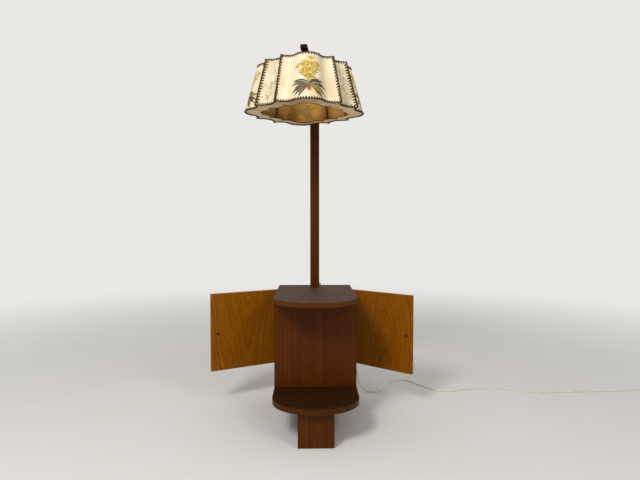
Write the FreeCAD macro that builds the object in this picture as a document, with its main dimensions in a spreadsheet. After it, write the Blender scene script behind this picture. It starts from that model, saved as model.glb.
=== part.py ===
"""Floor lamp with a side cabinet, a swing arm and a laced parchment shade.

Millimetres, +Z up. The origin is the middle of the plinth's underside, on the
floor. -Y is the front, where the round ends of the two boards point.
"""
import FreeCAD, Part
import math
import os
import re

from FreeCAD import Placement, Rotation, Vector

document = FreeCAD.newDocument("FloorLamp")
X_AXIS = Vector(1, 0, 0)
Y_AXIS = Vector(0, 1, 0)
Z_AXIS = Vector(0, 0, 1)
SIDES = {"left": -1, "right": 1}

# Driving sizes, in millimetres and degrees
SIZES = {
    # plinth
    "PlinthWidth": 144,
    "PlinthLength": 600,
    "PlinthHeight": 143,
    "PlinthWall": 18,
    "PlinthFloor": 12,
    "CleatSize": 20,
    "CleatLength": 500,
    "CleatScrewSpacing": 420,
    # boards and panels of the cabinet
    "CabinetWidth": 360,
    "CabinetDepth": 387,
    "CabinetSetback": 23,
    "ShelfThickness": 22,
    "ShelfStraight": 509,
    "ShelfBow": 146,
    "TopThickness": 21,
    "TopStraight": 414,
    "TopBow": 150,
    "EdgeVeneer": 1.5,
    "PanelHeight": 378,
    "PanelThickness": 16,
    "DowelRadius": 4,
    "DowelLength": 30,
    "FrontDowelSpacing": 240,
    "BackDowelSpacing": 200,
    # doors, hinges and knobs
    "DoorThickness": 16,
    "DoorSideGap": 0.6,
    "DoorRearGap": 0.5,
    "DoorFrontGap": 0.5,
    "DoorEndGap": 1.8,
    "LeftDoorOpen": 63,
    "RightDoorOpen": 51,
    "LeafHeight": 50,
    "LeafWidth": 14,
    "LeafThickness": 1.5,
    "KnuckleRadius": 3,
    "KnuckleGap": 0.2,
    "HingePinRadius": 1.3,
    "HingeStandOff": 3.8,
    "HingeInset": 60,
    "HingeScrewSpacing": 30,
    "KnobFromEdge": 31,
    "KnobHeight": 182,
    "KnobRadius": 12,
    "KnobStemRadius": 7,
    "KnobStemLength": 8,
    "KnobScrewHeadRadius": 7,
    "KnobScrewHeadThickness": 2,
    # screws
    "ScrewRadius": 2,
    "CleatScrewLength": 34,
    "SmallScrewRadius": 1.2,
    "SmallScrewLength": 12,
    "FitGap": 0.05,
    # pole
    "PoleWidth": 45,
    "PoleTop": 1520,
    "PoleTenon": 12,
    "PoleHoleGap": 0.3,
    "PoleEase": 3,
    "PoleBoreRadius": 5,
    "PoleScrewLength": 44,
    "CordExitRise": 40,
    # swivel and tilt joint at the pole's head
    "BushFlangeRadius": 20,
    "BushFlange": 3,
    "BushRadius": 10,
    "BushDepth": 34,
    "SpindleRadius": 6,
    "SpindleBoreRadius": 4,
    "SpindleLength": 33,
    "RunningGap": 0.06,
    "ForkBaseRadius": 22,
    "ForkBase": 8,
    "CheekThickness": 5,
    "CheekRadius": 15,
    "WasherThickness": 1.2,
    "WasherRadius": 13,
    "WasherGap": 0.1,
    "TiltRise": 46,
    "TiltBoltRadius": 4,
    "BoltHeadRadius": 8,
    "BoltHeadThickness": 5,
    "ClampKnobRadius": 16,
    "ClampKnobLength": 15,
    "ClampKnobLobes": 6,
    "ClampGrooveRadius": 4,
    "ClampBoltEnd": 12,
    # arm
    "ArmWidth": 29.6,
    "ArmThickness": 18,
    "ArmTip": 28,
    "ArmTail": 25,
    "ArmEase": 2,
    "ArmSwing": 8.43,
    "ArmPitch": 12,
    "ArmBoreGap": 0.3,
    "ArmBoreEnd": 17,
    "LeadDrop": 12,
    "ShadePoleGap": 27.4,
    "HangerSlotWidth": 6.4,
    "HangerSlotFront": 12,
    "HangerSlotRear": 18,
    "HangerPinRadius": 2.5,
    # hanger, lampholder and bulb
    "HangerPlate": 6,
    "HangerEyeRadius": 8,
    "HangerDrop": 34,
    "HangerBossRadius": 8,
    "HangerBossLength": 14,
    "HolderCapHeight": 18,
    "HolderCapRadius": 12,
    "HolderRadius": 20,
    "HolderHeight": 50,
    "HolderBoreRadius": 13.6,
    "HolderBoreDepth": 26,
    "ShadeRingRadius": 26,
    "ShadeRingHeight": 6,
    "SwitchDrop": 14,
    "SwitchDepth": 8,
    "SwitchStemRadius": 3,
    "SwitchStemLength": 12,
    "SwitchKeyWidth": 14,
    "SwitchKeyLength": 12,
    "SwitchKeyThickness": 3,
    "BulbBaseRadius": 13.4,
    "BulbBaseLength": 24,
    "BulbNeckRadius": 12.5,
    "BulbNeckLength": 34,
    "BulbShoulderRadius": 24,
    "BulbRadius": 30,
    "BulbWall": 1,
    # shade
    "ShadeGripDrop": 34.15,
    "ShadeHeight": 189,
    "ShadeTurn": 4.5,
    "ShadeTopScale": 0.791,
    "BowFront": 266,
    "BowSide": 257,
    "BowShoulder": 62,
    "BowShoulderReach": 226,
    "PanelEdge": 131.8,
    "PanelEdgeReach": 210,
    "CoveDepth": 30,
    "CornerPanelGap": 2.6,
    "CornerLacingGap": 7.4,
    "ParchmentThickness": 1.2,
    "SheetGap": 0.3,
    "WireSize": 3,
    "RibRadius": 1.75,
    "RibInset": 8.2,
    "CollarScale": 0.74,
    "LacingWidth": 4.4,
    "LacingHeight": 3.4,
    "SeamRadius": 2.2,
    "SeamGap": 0.2,
    "CarrierHubRadius": 30,
    "CarrierThickness": 2,
    "CarrierWireRadius": 2,
    "CarrierDrop": 3,
    # cord and plug
    "CordRadius": 3.25,
    "CordFloorGap": 0.05,
    "GrommetRadius": 5.5,
    "GrommetFlangeRadius": 8,
    "GrommetFlange": 2,
    "GrommetLength": 14,
    "GrommetBoreGap": 0.1,
    "CordEyeFromMiddle": 26.5,
    "CordEyeStandOff": 29.35,
    "CordEyeRise": 2.5,
    "CordEyeWire": 0.9,
    "CordEyeRadius": 5.3,
    "CordEyeThread": 12,
    "CoilRadius": 43.2,
    "CoilTurns": 4,
    "CoilClimbTurns": 0.5,
    "CoilPitch": 8.2,
    "CoilLayerGap": 0.6,
    "PlugWidth": 26,
    "PlugLength": 38,
    "PlugEase": 5,
    "PlugReliefLength": 30,
    "PlugReliefRadius": 5,
    "PlugPinRadius": 2,
    "PlugPinLength": 19,
    "PlugPinSpacing": 18.6,
}

# Places that several pieces share, worked out from the driving sizes
PLACES = {
    "CabinetBack": "PlinthLength / 2 + CabinetSetback",
    "CabinetFront": "CabinetBack - CabinetDepth",
    "ShelfTop": "PlinthHeight + ShelfThickness",
    "TopUnder": "ShelfTop + PanelHeight",
    "TopFace": "TopUnder + TopThickness",
    "BackPanelFront": "CabinetBack - PanelThickness",
    "PoleY": "BackPanelFront - PoleWidth / 2",
    "DoorInner": "CabinetWidth / 2 - DoorThickness",
    "BackPanelEdge": "DoorInner - DoorSideGap",
    "DoorRear": "CabinetBack - DoorRearGap",
    "DoorFront": "CabinetFront + PanelThickness + DoorFrontGap",
    "HingeX": "(DoorInner + BackPanelEdge) / 2",
    "HingeY": "CabinetBack + HingeStandOff",
    "LeafEnd": "HingeY - KnuckleRadius - SheetGap",
    "LowerHinge": "ShelfTop + HingeInset",
    "UpperHinge": "TopUnder - HingeInset",
    "KnobZ": "ShelfTop + KnobHeight",
    "KnobY": "DoorFront + KnobFromEdge",
    "CordExitHeight": "TopFace + CordExitRise",
    "ForkFloor": "PoleTop + BushFlange",
    "TiltHeight": "ForkFloor + TiltRise",
    "ForkInner": "ArmWidth / 2 + WasherThickness + WasherGap",
    "ForkOuter": "ForkInner + CheekThickness",
    "HangerReach": "(BowFront + PoleWidth / 2 + ShadePoleGap) / cos(ArmPitch)",
    "ArmReach": "HangerReach + ArmTip",
    "CornerReach": "(PanelEdge + PanelEdgeReach) / sqrt(2) - CoveDepth",
    "HolderTop": "-HangerDrop - HolderCapHeight",
    "HolderBottom": "HolderTop - HolderHeight",
    "SwitchZ": "HolderTop - SwitchDrop",
    "HubTop": "ShadeHeight - CarrierDrop",
    "HubBottom": "HubTop - CarrierThickness",
}

WORD = re.compile(r"[A-Z][A-Za-z]+")


def bound(formula):
    """A formula whose names point at the cells of the two sheets."""
    def cell(word):
        name = word[0]
        if name in SIZES:
            return f"Sizes.{name}"
        return f"Places.{name}" if name in PLACES else name
    return WORD.sub(cell, formula)


def fill_sheet(name, cells):
    """A spreadsheet with one named cell in each row."""
    sheet = document.addObject("Spreadsheet::Sheet", name)
    for row, (alias, content) in enumerate(cells.items(), start=1):
        sheet.set(f"A{row}", alias)
        sheet.setAlias(f"B{row}", alias)
        sheet.set(f"B{row}", content)
        document.recompute()
    return sheet


sizes_sheet = fill_sheet("Sizes", {alias: str(number) for alias, number in SIZES.items()})
places_sheet = fill_sheet("Places", {
    alias: "=" + bound(formula).replace("Places.", "") for alias, formula in PLACES.items()
})


class SheetValues:
    """Reads a size or a place from its sheet by name."""

    def __getattr__(self, name):
        sheet = sizes_sheet if name in SIZES else places_sheet
        return float(sheet.get(name))


value = SheetValues()

# Which way a primitive that is built along +Z is turned
TURNS = {
    "+x": Rotation(Y_AXIS, 90),
    "-x": Rotation(Y_AXIS, -90),
    "+y": Rotation(X_AXIS, -90),
    "-y": Rotation(X_AXIS, 90),
    "+z": Rotation(),
    "-z": Rotation(X_AXIS, 180),
}


def bind(item, **formulas):
    """Bind properties of an object to formulas; at=(x, y, z) binds its place."""
    at = formulas.pop("at", None)
    for name, formula in formulas.items():
        item.setExpression(name, bound(str(formula)))
    if at:
        for letter, formula in zip("xyz", at):
            item.setExpression(f"Placement.Base.{letter}", bound(str(formula)))
    return item


def box(name, x, y, z):
    """A box between a low and a high formula on each axis."""
    item = document.addObject("Part::Box", name)
    spans = (x, y, z)
    bind(item, at=[low for low, high in spans])
    for letter, (low, high) in zip(("Length", "Width", "Height"), spans):
        bind(item, **{letter: f"({high}) - ({low})"})
    return item


def cylinder(name, radius, length, at, direction="+z"):
    """A cylinder that starts at a point and runs in a direction."""
    item = document.addObject("Part::Cylinder", name)
    item.Placement = Placement(Vector(), TURNS[direction])
    return bind(item, Radius=radius, Height=length, at=at)


def cone(name, radius_start, radius_end, length, at, direction="+z"):
    """A cone frustum that starts at a point and runs in a direction."""
    item = document.addObject("Part::Cone", name)
    item.Placement = Placement(Vector(), TURNS[direction])
    return bind(item, Radius1=radius_start, Radius2=radius_end, Height=length, at=at)


def sphere(name, radius, at, direction="+z"):
    """A ball about a point, with its poles along a direction."""
    item = document.addObject("Part::Sphere", name)
    item.Placement = Placement(Vector(), TURNS[direction])
    return bind(item, Radius=radius, at=at)


def group(name, items):
    """Separate solids under one name."""
    item = document.addObject("Part::Compound", name)
    item.Links = items
    return item


def fuse(name, items):
    """One solid from several that meet."""
    item = document.addObject("Part::MultiFuse", name)
    item.Shapes = items
    item.Refine = True
    return item


def cut(name, base, tools):
    """A solid with one or more tools taken out of it."""
    item = document.addObject("Part::Cut", name)
    item.Base = base
    item.Tool = tools[0] if len(tools) == 1 else group(name + "_tools", tools)
    return item


def feature(name, shape):
    """A piece whose shape comes from its own code."""
    item = document.addObject("Part::Feature", name)
    item.Shape = shape
    return item


def ease(name, base, radius, direction):
    """Round the long edges of a solid that run along a direction."""
    document.recompute()
    item = document.addObject("Part::Fillet", name)
    item.Base = base
    edges = []
    for index, edge in enumerate(base.Shape.Edges, start=1):
        along = edge.Vertexes[-1].Point - edge.Vertexes[0].Point
        if along.Length and abs(along.normalize().dot(direction)) > 0.999:
            edges.append((index, radius, radius))
    item.Edges = edges
    return item


def screw(name, at, direction, length, radius, gap="0"):
    """A countersunk screw; with a gap it is the hole for one."""
    shank = cylinder(name + "_shank", f"{radius} + {gap}", length, at, direction)
    head = cone(name + "_head", f"2 * {radius} + {gap}", f"{radius} + {gap}", radius, at, direction)
    return fuse(name, [shank, head])


sub_parts = []


def sub_part(name, item, placement=None):
    """Name a finished piece and put it in its place."""
    if placement or item.TypeId in ("Part::Box", "Part::Cylinder"):
        item = group(name + "_piece", [item])
    item.Label = name
    item.Placement = placement or Placement()
    sub_parts.append(item)
    return item


def mirrored(side, low, high):
    """A low and high formula on X, for the right side or its mirror image."""
    return (low, high) if side > 0 else (f"-({high})", f"-({low})")


def signed(side, formula):
    """A formula on X, for the right side or its mirror image."""
    return formula if side > 0 else f"-({formula})"


# Plinth: four boards on a floor board, and two cleats that hold the shelf
plinth_x = ("-PlinthWidth / 2", "PlinthWidth / 2")
plinth_z = ("0", "PlinthHeight")
sub_part("plinth_ends", group("PlinthEnds", [
    box("PlinthFront", plinth_x, ("-PlinthLength / 2", "PlinthWall - PlinthLength / 2"), plinth_z),
    box("PlinthBack", plinth_x, ("PlinthLength / 2 - PlinthWall", "PlinthLength / 2"), plinth_z),
]))
plinth_inside_x = ("PlinthWall - PlinthWidth / 2", "PlinthWidth / 2 - PlinthWall")
plinth_inside_y = ("PlinthWall - PlinthLength / 2", "PlinthLength / 2 - PlinthWall")
sub_part("plinth_sides", group("PlinthSides", [
    box(f"PlinthSide_{name}", mirrored(side, "PlinthWidth / 2 - PlinthWall", "PlinthWidth / 2"),
        plinth_inside_y, plinth_z)
    for name, side in SIDES.items()
]))
sub_part("plinth_floor", box("PlinthFloorBoard", plinth_inside_x, plinth_inside_y, ("0", "PlinthFloor")))

cleat_x = "(PlinthWidth / 2 - PlinthWall - CleatSize / 2)"
cleats = []
cleat_screws = []
cleat_holes = []
for name, side in SIDES.items():
    cleat = box(f"Cleat_{name}",
                mirrored(side, f"{cleat_x} - CleatSize / 2", f"{cleat_x} + CleatSize / 2"),
                ("-CleatLength / 2", "CleatLength / 2"),
                ("PlinthHeight - CleatSize", "PlinthHeight"))
    holes = []
    for end in (-1, 1):
        at = (signed(side, cleat_x), f"{end} * CleatScrewSpacing / 2", "PlinthHeight - CleatSize")
        place = f"{name}_{'front' if end < 0 else 'back'}"
        cleat_screws.append(screw(f"CleatScrew_{place}", at, "+z", "CleatScrewLength", "ScrewRadius"))
        holes.append(screw(f"CleatHole_{place}", at, "+z", "CleatScrewLength", "ScrewRadius", "FitGap"))
    cleats.append(cut(f"CleatDrilled_{name}", cleat, holes))
    cleat_holes += holes
sub_part("plinth_cleats", group("PlinthCleats", cleats))
sub_part("shelf_screws", group("ShelfScrews", cleat_screws))


# Round-ended boards: a straight part to the rear and half an ellipse in front
def round_ended(name, inset, straight, bow, low, high):
    """A board with a round front end, drawn in by an inset on its visible edges."""
    half = f"(CabinetWidth / 2 - {inset})"
    front = f"(CabinetBack - {straight})"
    reach = f"({bow} - {inset})"
    ellipse = document.addObject("Part::Ellipse", name + "_ellipse")
    bind(ellipse, MajorRadius=f"max({half}; {reach})", MinorRadius=f"min({half}; {reach})",
         at=("0", front, low))
    deeper_than_wide = getattr(value, bow) > value.CabinetWidth / 2
    ellipse.Placement.Rotation = Rotation(Z_AXIS, 90 if deeper_than_wide else 0)
    end = document.addObject("Part::Extrusion", name + "_end")
    end.Base = ellipse
    end.DirMode = "Custom"
    end.Dir = Z_AXIS
    end.Solid = True
    bind(end, LengthFwd=f"({high}) - ({low})")
    body = box(name + "_straight", (f"-{half}", half), (front, "CabinetBack"), (low, high))
    return fuse(name, [body, end])


# Dowels between the two panels and the two boards
dowels = []
dowel_holes = []
for panel, spacing, y in (("Front", "FrontDowelSpacing", "CabinetFront + PanelThickness / 2"),
                          ("Back", "BackDowelSpacing", "CabinetBack - PanelThickness / 2")):
    for level, z in (("Low", "ShelfTop"), ("High", "TopUnder")):
        for name, side in SIDES.items():
            at = (f"{side} * {spacing} / 2", y, f"{z} - DowelLength / 2")
            place = f"{panel}{level}_{name}"
            dowels.append(cylinder(f"Dowel{place}", "DowelRadius", "DowelLength", at))
            dowel_holes.append(cylinder(f"DowelHole{place}", "DowelRadius + FitGap",
                                        "DowelLength + 2 * FitGap",
                                        (at[0], at[1], at[2] + " - FitGap")))
sub_part("panel_dowels", group("PanelDowels", dowels))
low_dowel_holes = [hole for hole in dowel_holes if "Low" in hole.Name]
high_dowel_holes = [hole for hole in dowel_holes if "High" in hole.Name]
front_dowel_holes = [hole for hole in dowel_holes if "Front" in hole.Name]
back_dowel_holes = [hole for hole in dowel_holes if "Back" in hole.Name]

# Lower shelf and top board, each with a strip of edge veneer
pole_half = "PoleWidth / 2"
pole_x = (f"-{pole_half}", pole_half)
pole_y = ("PoleY - PoleWidth / 2", "PoleY + PoleWidth / 2")
tenon_blank = box("TenonBlank", pole_x, pole_y, ("ShelfTop - PoleTenon", "ShelfTop"))
tenon_hole = ease("TenonHole", tenon_blank, value.PoleEase, Z_AXIS)
pole_hole_blank = box("PoleHoleBlank",
                      (f"-{pole_half} - PoleHoleGap", f"{pole_half} + PoleHoleGap"),
                      ("PoleY - PoleWidth / 2 - PoleHoleGap", "PoleY + PoleWidth / 2 + PoleHoleGap"),
                      ("TopUnder", "TopFace"))
pole_hole = ease("PoleHole", pole_hole_blank, value.PoleEase, Z_AXIS)
shelf_size = ("ShelfStraight", "ShelfBow", "PlinthHeight", "ShelfTop")
top_size = ("TopStraight", "TopBow", "TopUnder", "TopFace")
shelf_blank = round_ended("ShelfBlank", "EdgeVeneer", *shelf_size)
top_blank = round_ended("TopBlank", "EdgeVeneer", *top_size)
sub_part("lower_shelf", cut("LowerShelf", shelf_blank, [tenon_hole] + cleat_holes + low_dowel_holes))
sub_part("lower_shelf_edge", cut("LowerShelfEdge", round_ended("ShelfOuter", "0", *shelf_size),
                                 [round_ended("ShelfInner", "EdgeVeneer", *shelf_size)]))

# Where the cord goes: down behind the cabinet, then along the floor to the right
CORD_DROP = [
    (0, 325, 604), (4, 338, 600.5), (11, 347.5, 591), (20, 351.2, 577), (33, 353.5, 556), (54, 355, 520),
    (84, 356, 462), (118, 356.5, 388), (152, 356, 312), (182, 355, 238), (205, 354, 170), (219, 353, 118),
    (226.5, 352, 78), (232, 351, 50), (243, 349, 26), (257, 343, 11), (271, 335, 4.6),
]
CORD_FLOOR = [
    (290, 325), (312, 323), (333, 334), (350, 354), (366, 385), (394, 440), (430, 490), (470, 515),
    (507, 515), (535, 488), (560, 447), (588, 400), (622, 358), (665, 333), (718, 332), (775, 350),
    (835, 372), (900, 379), (960, 370), (1025, 348), (1090, 322), (1150, 303), (1215, 299), (1285, 308),
    (1370, 311), (1455, 313), (1545, 318), (1630, 321), (1690, 331), (1745, 350), (1797, 357.8),
]

# Wire eye in the top board's rear edge, round the cord where it turns down
cord_at_eye = Vector(*CORD_DROP[4]) - Vector(*CORD_DROP[3])
eye_centre = Vector(value.CordEyeFromMiddle, value.CabinetBack + value.CordEyeStandOff,
                    value.TopFace + value.CordEyeRise)
eye_root = Vector(eye_centre.x, value.CabinetBack, (value.TopUnder + 2 * value.TopFace) / 3)
eye_run = eye_root - eye_centre
eye_axis = cord_at_eye - eye_run * (cord_at_eye.dot(eye_run) / eye_run.Length ** 2)
eye_shank_start = eye_centre + eye_run * (value.CordEyeRadius / eye_run.Length)
eye_shank_length = (eye_root - eye_shank_start).Length + value.CordEyeThread


def eye_shank(radius):
    """The straight leg of the wire eye, into the board's edge."""
    return Part.makeCylinder(radius, eye_shank_length, eye_shank_start, eye_run)


eye_ring = Part.makeTorus(value.CordEyeRadius, value.CordEyeWire, eye_centre, eye_axis)
eye_hole = feature("CordEyeHole", eye_shank(value.CordEyeWire + value.FitGap))
sub_part("cord_eye", feature("CordEye", eye_ring.fuse(eye_shank(value.CordEyeWire)).removeSplitter()))
sub_part("top_board", cut("TopBoard", top_blank, [pole_hole, eye_hole] + high_dowel_holes))
sub_part("top_board_edge", cut("TopBoardEdge", round_ended("TopOuter", "0", *top_size),
                               [round_ended("TopInner", "EdgeVeneer", *top_size)]))

# Front panel
front_blank = box("FrontBlank", ("-CabinetWidth / 2", "CabinetWidth / 2"),
                  ("CabinetFront", "CabinetFront + PanelThickness"), ("ShelfTop", "TopUnder"))
sub_part("front_panel", cut("FrontPanel", front_blank, front_dowel_holes))

# Hinges: each has a leaf let into the back panel's edge and one let into the door
hinge_levels = {"lower": "LowerHinge", "upper": "UpperHinge"}
screw_y = "(HingeY - (LeafWidth + KnuckleRadius) / 2)"


def leaf(name, side, level, on_door):
    """A hinge leaf with its knuckles, in the closed pose."""
    inner, outer = (("DoorInner", "DoorInner + LeafThickness") if on_door
                    else ("BackPanelEdge - LeafThickness", "BackPanelEdge"))
    x = mirrored(side, inner, outer)
    bottom = f"{level} - LeafHeight / 2"
    third = "(LeafHeight / 3)"
    knuckles = [1] if on_door else [0, 2]
    pieces = [box(name + "_plate", x, ("HingeY - LeafWidth", "LeafEnd"), (bottom, f"{bottom} + LeafHeight"))]
    for step in knuckles:
        low = f"({bottom} + {step} * {third} + KnuckleGap / 2)"
        high = f"({bottom} + {step + 1} * {third} - KnuckleGap / 2)"
        pieces.append(box(f"{name}_tab{step}", x, ("LeafEnd", "HingeY"), (low, high)))
        pieces.append(cylinder(f"{name}_knuckle{step}", "KnuckleRadius", f"{high} - {low}",
                               (signed(side, "HingeX"), "HingeY", low)))
    bore = cylinder(name + "_bore", "HingePinRadius + RunningGap", "LeafHeight",
                    (signed(side, "HingeX"), "HingeY", bottom))
    holes = leaf_screws(name + "_hole", side, level, on_door, "FitGap")
    return cut(name, fuse(name + "_blank", pieces), [bore] + holes)


def leaf_screws(name, side, level, on_door, gap="0"):
    """The two screws of a leaf, or their holes, in the closed pose."""
    face = "DoorInner" if on_door else "BackPanelEdge"
    inward = side if on_door else -side
    direction = "+x" if inward > 0 else "-x"
    screws = []
    for end in (-1, 1):
        at = (signed(side, face), screw_y, f"{level} + {end} * HingeScrewSpacing / 2")
        screws.append(screw(f"{name}{end + 1}", at, direction, "SmallScrewLength", "SmallScrewRadius", gap))
    return screws


def mortise(name, side, level, on_door):
    """The recess that a leaf lies in."""
    inner, outer = (("DoorInner", "DoorInner + LeafThickness") if on_door
                    else ("BackPanelEdge - LeafThickness", "BackPanelEdge"))
    return box(name, mirrored(side, inner, outer), ("HingeY - LeafWidth", "HingeY"),
               (f"{level} - LeafHeight / 2", f"{level} + LeafHeight / 2"))


fixed_leaves = []
hinge_pins = []
fixed_screws = []
back_panel_cuts = list(back_dowel_holes)
for name, side in SIDES.items():
    for height, level in hinge_levels.items():
        place = f"{name}_{height}"
        fixed_leaves.append(leaf(f"FixedLeaf_{place}", side, level, False))
        hinge_pins.append(cylinder(f"HingePin_{place}", "HingePinRadius", "LeafHeight",
                                   (signed(side, "HingeX"), "HingeY", f"{level} - LeafHeight / 2")))
        fixed_screws += leaf_screws(f"FixedLeafScrew_{place}", side, level, False)
        back_panel_cuts.append(mortise(f"FixedMortise_{place}", side, level, False))
        back_panel_cuts += leaf_screws(f"FixedScrewHole_{place}", side, level, False, "FitGap")
sub_part("hinge_fixed_leaves", group("HingeFixedLeaves", fixed_leaves))
sub_part("hinge_pins", group("HingePins", hinge_pins))
sub_part("hinge_fixed_screws", group("HingeFixedScrews", fixed_screws))

# Back panel, and the two screws that hold the pole against it
pole_screws = []
pole_screw_holes = []
for height, level in hinge_levels.items():
    shape = (("0", "CabinetBack", level), "-y", "PoleScrewLength", "ScrewRadius")
    pole_screws.append(screw(f"PoleScrew_{height}", *shape))
    pole_screw_holes.append(screw(f"PoleScrewHole_{height}", *shape, "FitGap"))
sub_part("pole_screws", group("PoleScrews", pole_screws))
back_blank = box("BackBlank", ("-BackPanelEdge", "BackPanelEdge"),
                 ("BackPanelFront", "CabinetBack"), ("ShelfTop", "TopUnder"))
sub_part("back_panel", cut("BackPanel", back_blank, back_panel_cuts + pole_screw_holes))

# Pole, bored for the lead, with a bush for the swivel in its top
pole_blank = ease("PoleEased", box("PoleBlank", pole_x, pole_y, ("ShelfTop - PoleTenon", "PoleTop")),
                  value.PoleEase, Z_AXIS)
cord_exit = ("0", "PoleY", "CordExitHeight")
bush_foot = ("0", "PoleY", "PoleTop - BushDepth")
lead_bore = cylinder("LeadBore", "PoleBoreRadius", "PoleTop - CordExitHeight + PoleBoreRadius",
                     ("0", "PoleY", "CordExitHeight - PoleBoreRadius"))
bush_bore = cylinder("BushBore", "BushRadius", "BushDepth", bush_foot)
exit_bore = cylinder("ExitBore", "GrommetRadius", "PoleWidth / 2", cord_exit, "+y")
sub_part("pole", cut("Pole", pole_blank, [lead_bore, bush_bore, exit_bore] + pole_screw_holes))
bush_flange = cylinder("BushFlangeDisc", "BushFlangeRadius", "BushFlange", ("0", "PoleY", "PoleTop"))
bush_tube = cylinder("BushTube", "BushRadius", "BushDepth", bush_foot)
spindle_hole = cylinder("SpindleHole", "SpindleRadius + RunningGap", "BushDepth + BushFlange", bush_foot)
sub_part("swivel_bush", cut("SwivelBush", fuse("BushBlank", [bush_flange, bush_tube]), [spindle_hole]))

# Grommet at the cord's exit, and the lead inside the pole
grommet_face = "PoleY + PoleWidth / 2"
grommet_blank = fuse("GrommetBlank", [
    cylinder("GrommetTube", "GrommetRadius", "GrommetLength",
             ("0", f"{grommet_face} - GrommetLength", "CordExitHeight"), "+y"),
    cylinder("GrommetFlangeDisc", "GrommetFlangeRadius", "GrommetFlange",
             ("0", grommet_face, "CordExitHeight"), "+y"),
])
grommet_bore = cylinder("GrommetBore", "CordRadius + GrommetBoreGap", "GrommetLength + GrommetFlange",
                        ("0", f"{grommet_face} - GrommetLength", "CordExitHeight"), "+y")
sub_part("cord_grommet", cut("CordGrommet", grommet_blank, [grommet_bore]))
sub_part("lead_in_pole", fuse("LeadInPole", [
    cylinder("LeadRise", "CordRadius", "ForkFloor + ForkBase - CordExitHeight", cord_exit),
    cylinder("LeadExit", "CordRadius", "PoleWidth / 2 + GrommetFlange", cord_exit, "+y"),
    sphere("LeadElbow", "CordRadius", cord_exit),
]))

# Doors, in the closed pose, then swung open about their hinge pins
for name, side in SIDES.items():
    hinge_axis = Vector(side * value.HingeX, value.HingeY, 0)
    open_angle = value.RightDoorOpen if side > 0 else -value.LeftDoorOpen
    swing = Placement(Vector(), Rotation(Z_AXIS, open_angle), hinge_axis)
    outward = "+x" if side > 0 else "-x"
    inner_face = (signed(side, "DoorInner"), "KnobY", "KnobZ")
    outer_face = (signed(side, "CabinetWidth / 2"), "KnobY", "KnobZ")
    head_face = (signed(side, "DoorInner - KnobScrewHeadThickness"), "KnobY", "KnobZ")
    ball_centre = (signed(side, "CabinetWidth / 2 + KnobStemLength + KnobRadius / 2"), "KnobY", "KnobZ")
    grip = "DoorThickness + KnobStemLength"

    door_cuts = [cylinder(f"KnobScrewHole_{name}", "ScrewRadius + FitGap", "DoorThickness",
                          inner_face, outward)]
    door_leaves = []
    door_leaf_screws = []
    for height, level in hinge_levels.items():
        place = f"{name}_{height}"
        door_cuts.append(mortise(f"DoorMortise_{place}", side, level, True))
        door_cuts += leaf_screws(f"DoorScrewHole_{place}", side, level, True, "FitGap")
        door_leaves.append(leaf(f"DoorLeaf_{place}", side, level, True))
        door_leaf_screws += leaf_screws(f"DoorLeafScrew_{place}", side, level, True)
    door_blank = box(f"DoorBlank_{name}", mirrored(side, "DoorInner", "CabinetWidth / 2"),
                     ("DoorFront", "DoorRear"), ("ShelfTop + DoorEndGap", "TopUnder - DoorEndGap"))
    sub_part(f"{name}_door", cut(f"Door_{name}", door_blank, door_cuts), swing)
    sub_part(f"{name}_hinge_leaves", group(f"DoorLeaves_{name}", door_leaves), swing)
    sub_part(f"{name}_hinge_screws", group(f"DoorLeafScrews_{name}", door_leaf_screws), swing)

    knob_blank = fuse(f"KnobBlank_{name}", [
        cylinder(f"KnobStem_{name}", "KnobStemRadius", "KnobStemLength", outer_face, outward),
        sphere(f"KnobBall_{name}", "KnobRadius", ball_centre, outward),
    ])
    knob_bore = cylinder(f"KnobBore_{name}", "ScrewRadius + FitGap", "KnobStemLength + SheetGap",
                         outer_face, outward)
    sub_part(f"{name}_knob", cut(f"Knob_{name}", knob_blank, [knob_bore]), swing)
    sub_part(f"{name}_knob_screw", fuse(f"KnobScrew_{name}", [
        cylinder(f"KnobScrewShank_{name}", "ScrewRadius", grip, inner_face, outward),
        cylinder(f"KnobScrewHead_{name}", "KnobScrewHeadRadius", "KnobScrewHeadThickness",
                 head_face, outward),
    ]), swing)

# Swivel fork on the pole's head, built over the origin with the arm pointing to the front
pole_axis = Vector(0, value.PoleY, 0)
swivel_place = Placement(pole_axis, Rotation(Z_AXIS, -value.ArmSwing))
spindle_foot = ("0", "0", "ForkFloor - SpindleLength")
fork_pieces = [
    cylinder("Spindle", "SpindleRadius", "SpindleLength", spindle_foot),
    cylinder("ForkBaseDisc", "ForkBaseRadius", "ForkBase", ("0", "0", "ForkFloor")),
]
for name, side in SIDES.items():
    cheek_x = mirrored(side, "ForkInner", "ForkOuter")
    fork_pieces.append(box(f"Cheek_{name}", cheek_x, ("-CheekRadius", "CheekRadius"),
                           ("ForkFloor", "TiltHeight")))
    fork_pieces.append(cylinder(f"CheekRound_{name}", "CheekRadius", "CheekThickness",
                                (cheek_x[0], "0", "TiltHeight"), "+x"))
left_cheek = ("-ForkOuter", "0", "TiltHeight")
right_cheek = ("ForkOuter", "0", "TiltHeight")
fork_cuts = [
    cylinder("SpindleBore", "SpindleBoreRadius", "SpindleLength + ForkBase", spindle_foot),
    cylinder("CheekBores", "TiltBoltRadius + FitGap", "2 * ForkOuter", left_cheek, "+x"),
]
sub_part("swivel_fork", cut("SwivelFork", fuse("ForkBlank", fork_pieces), fork_cuts), swivel_place)

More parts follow.
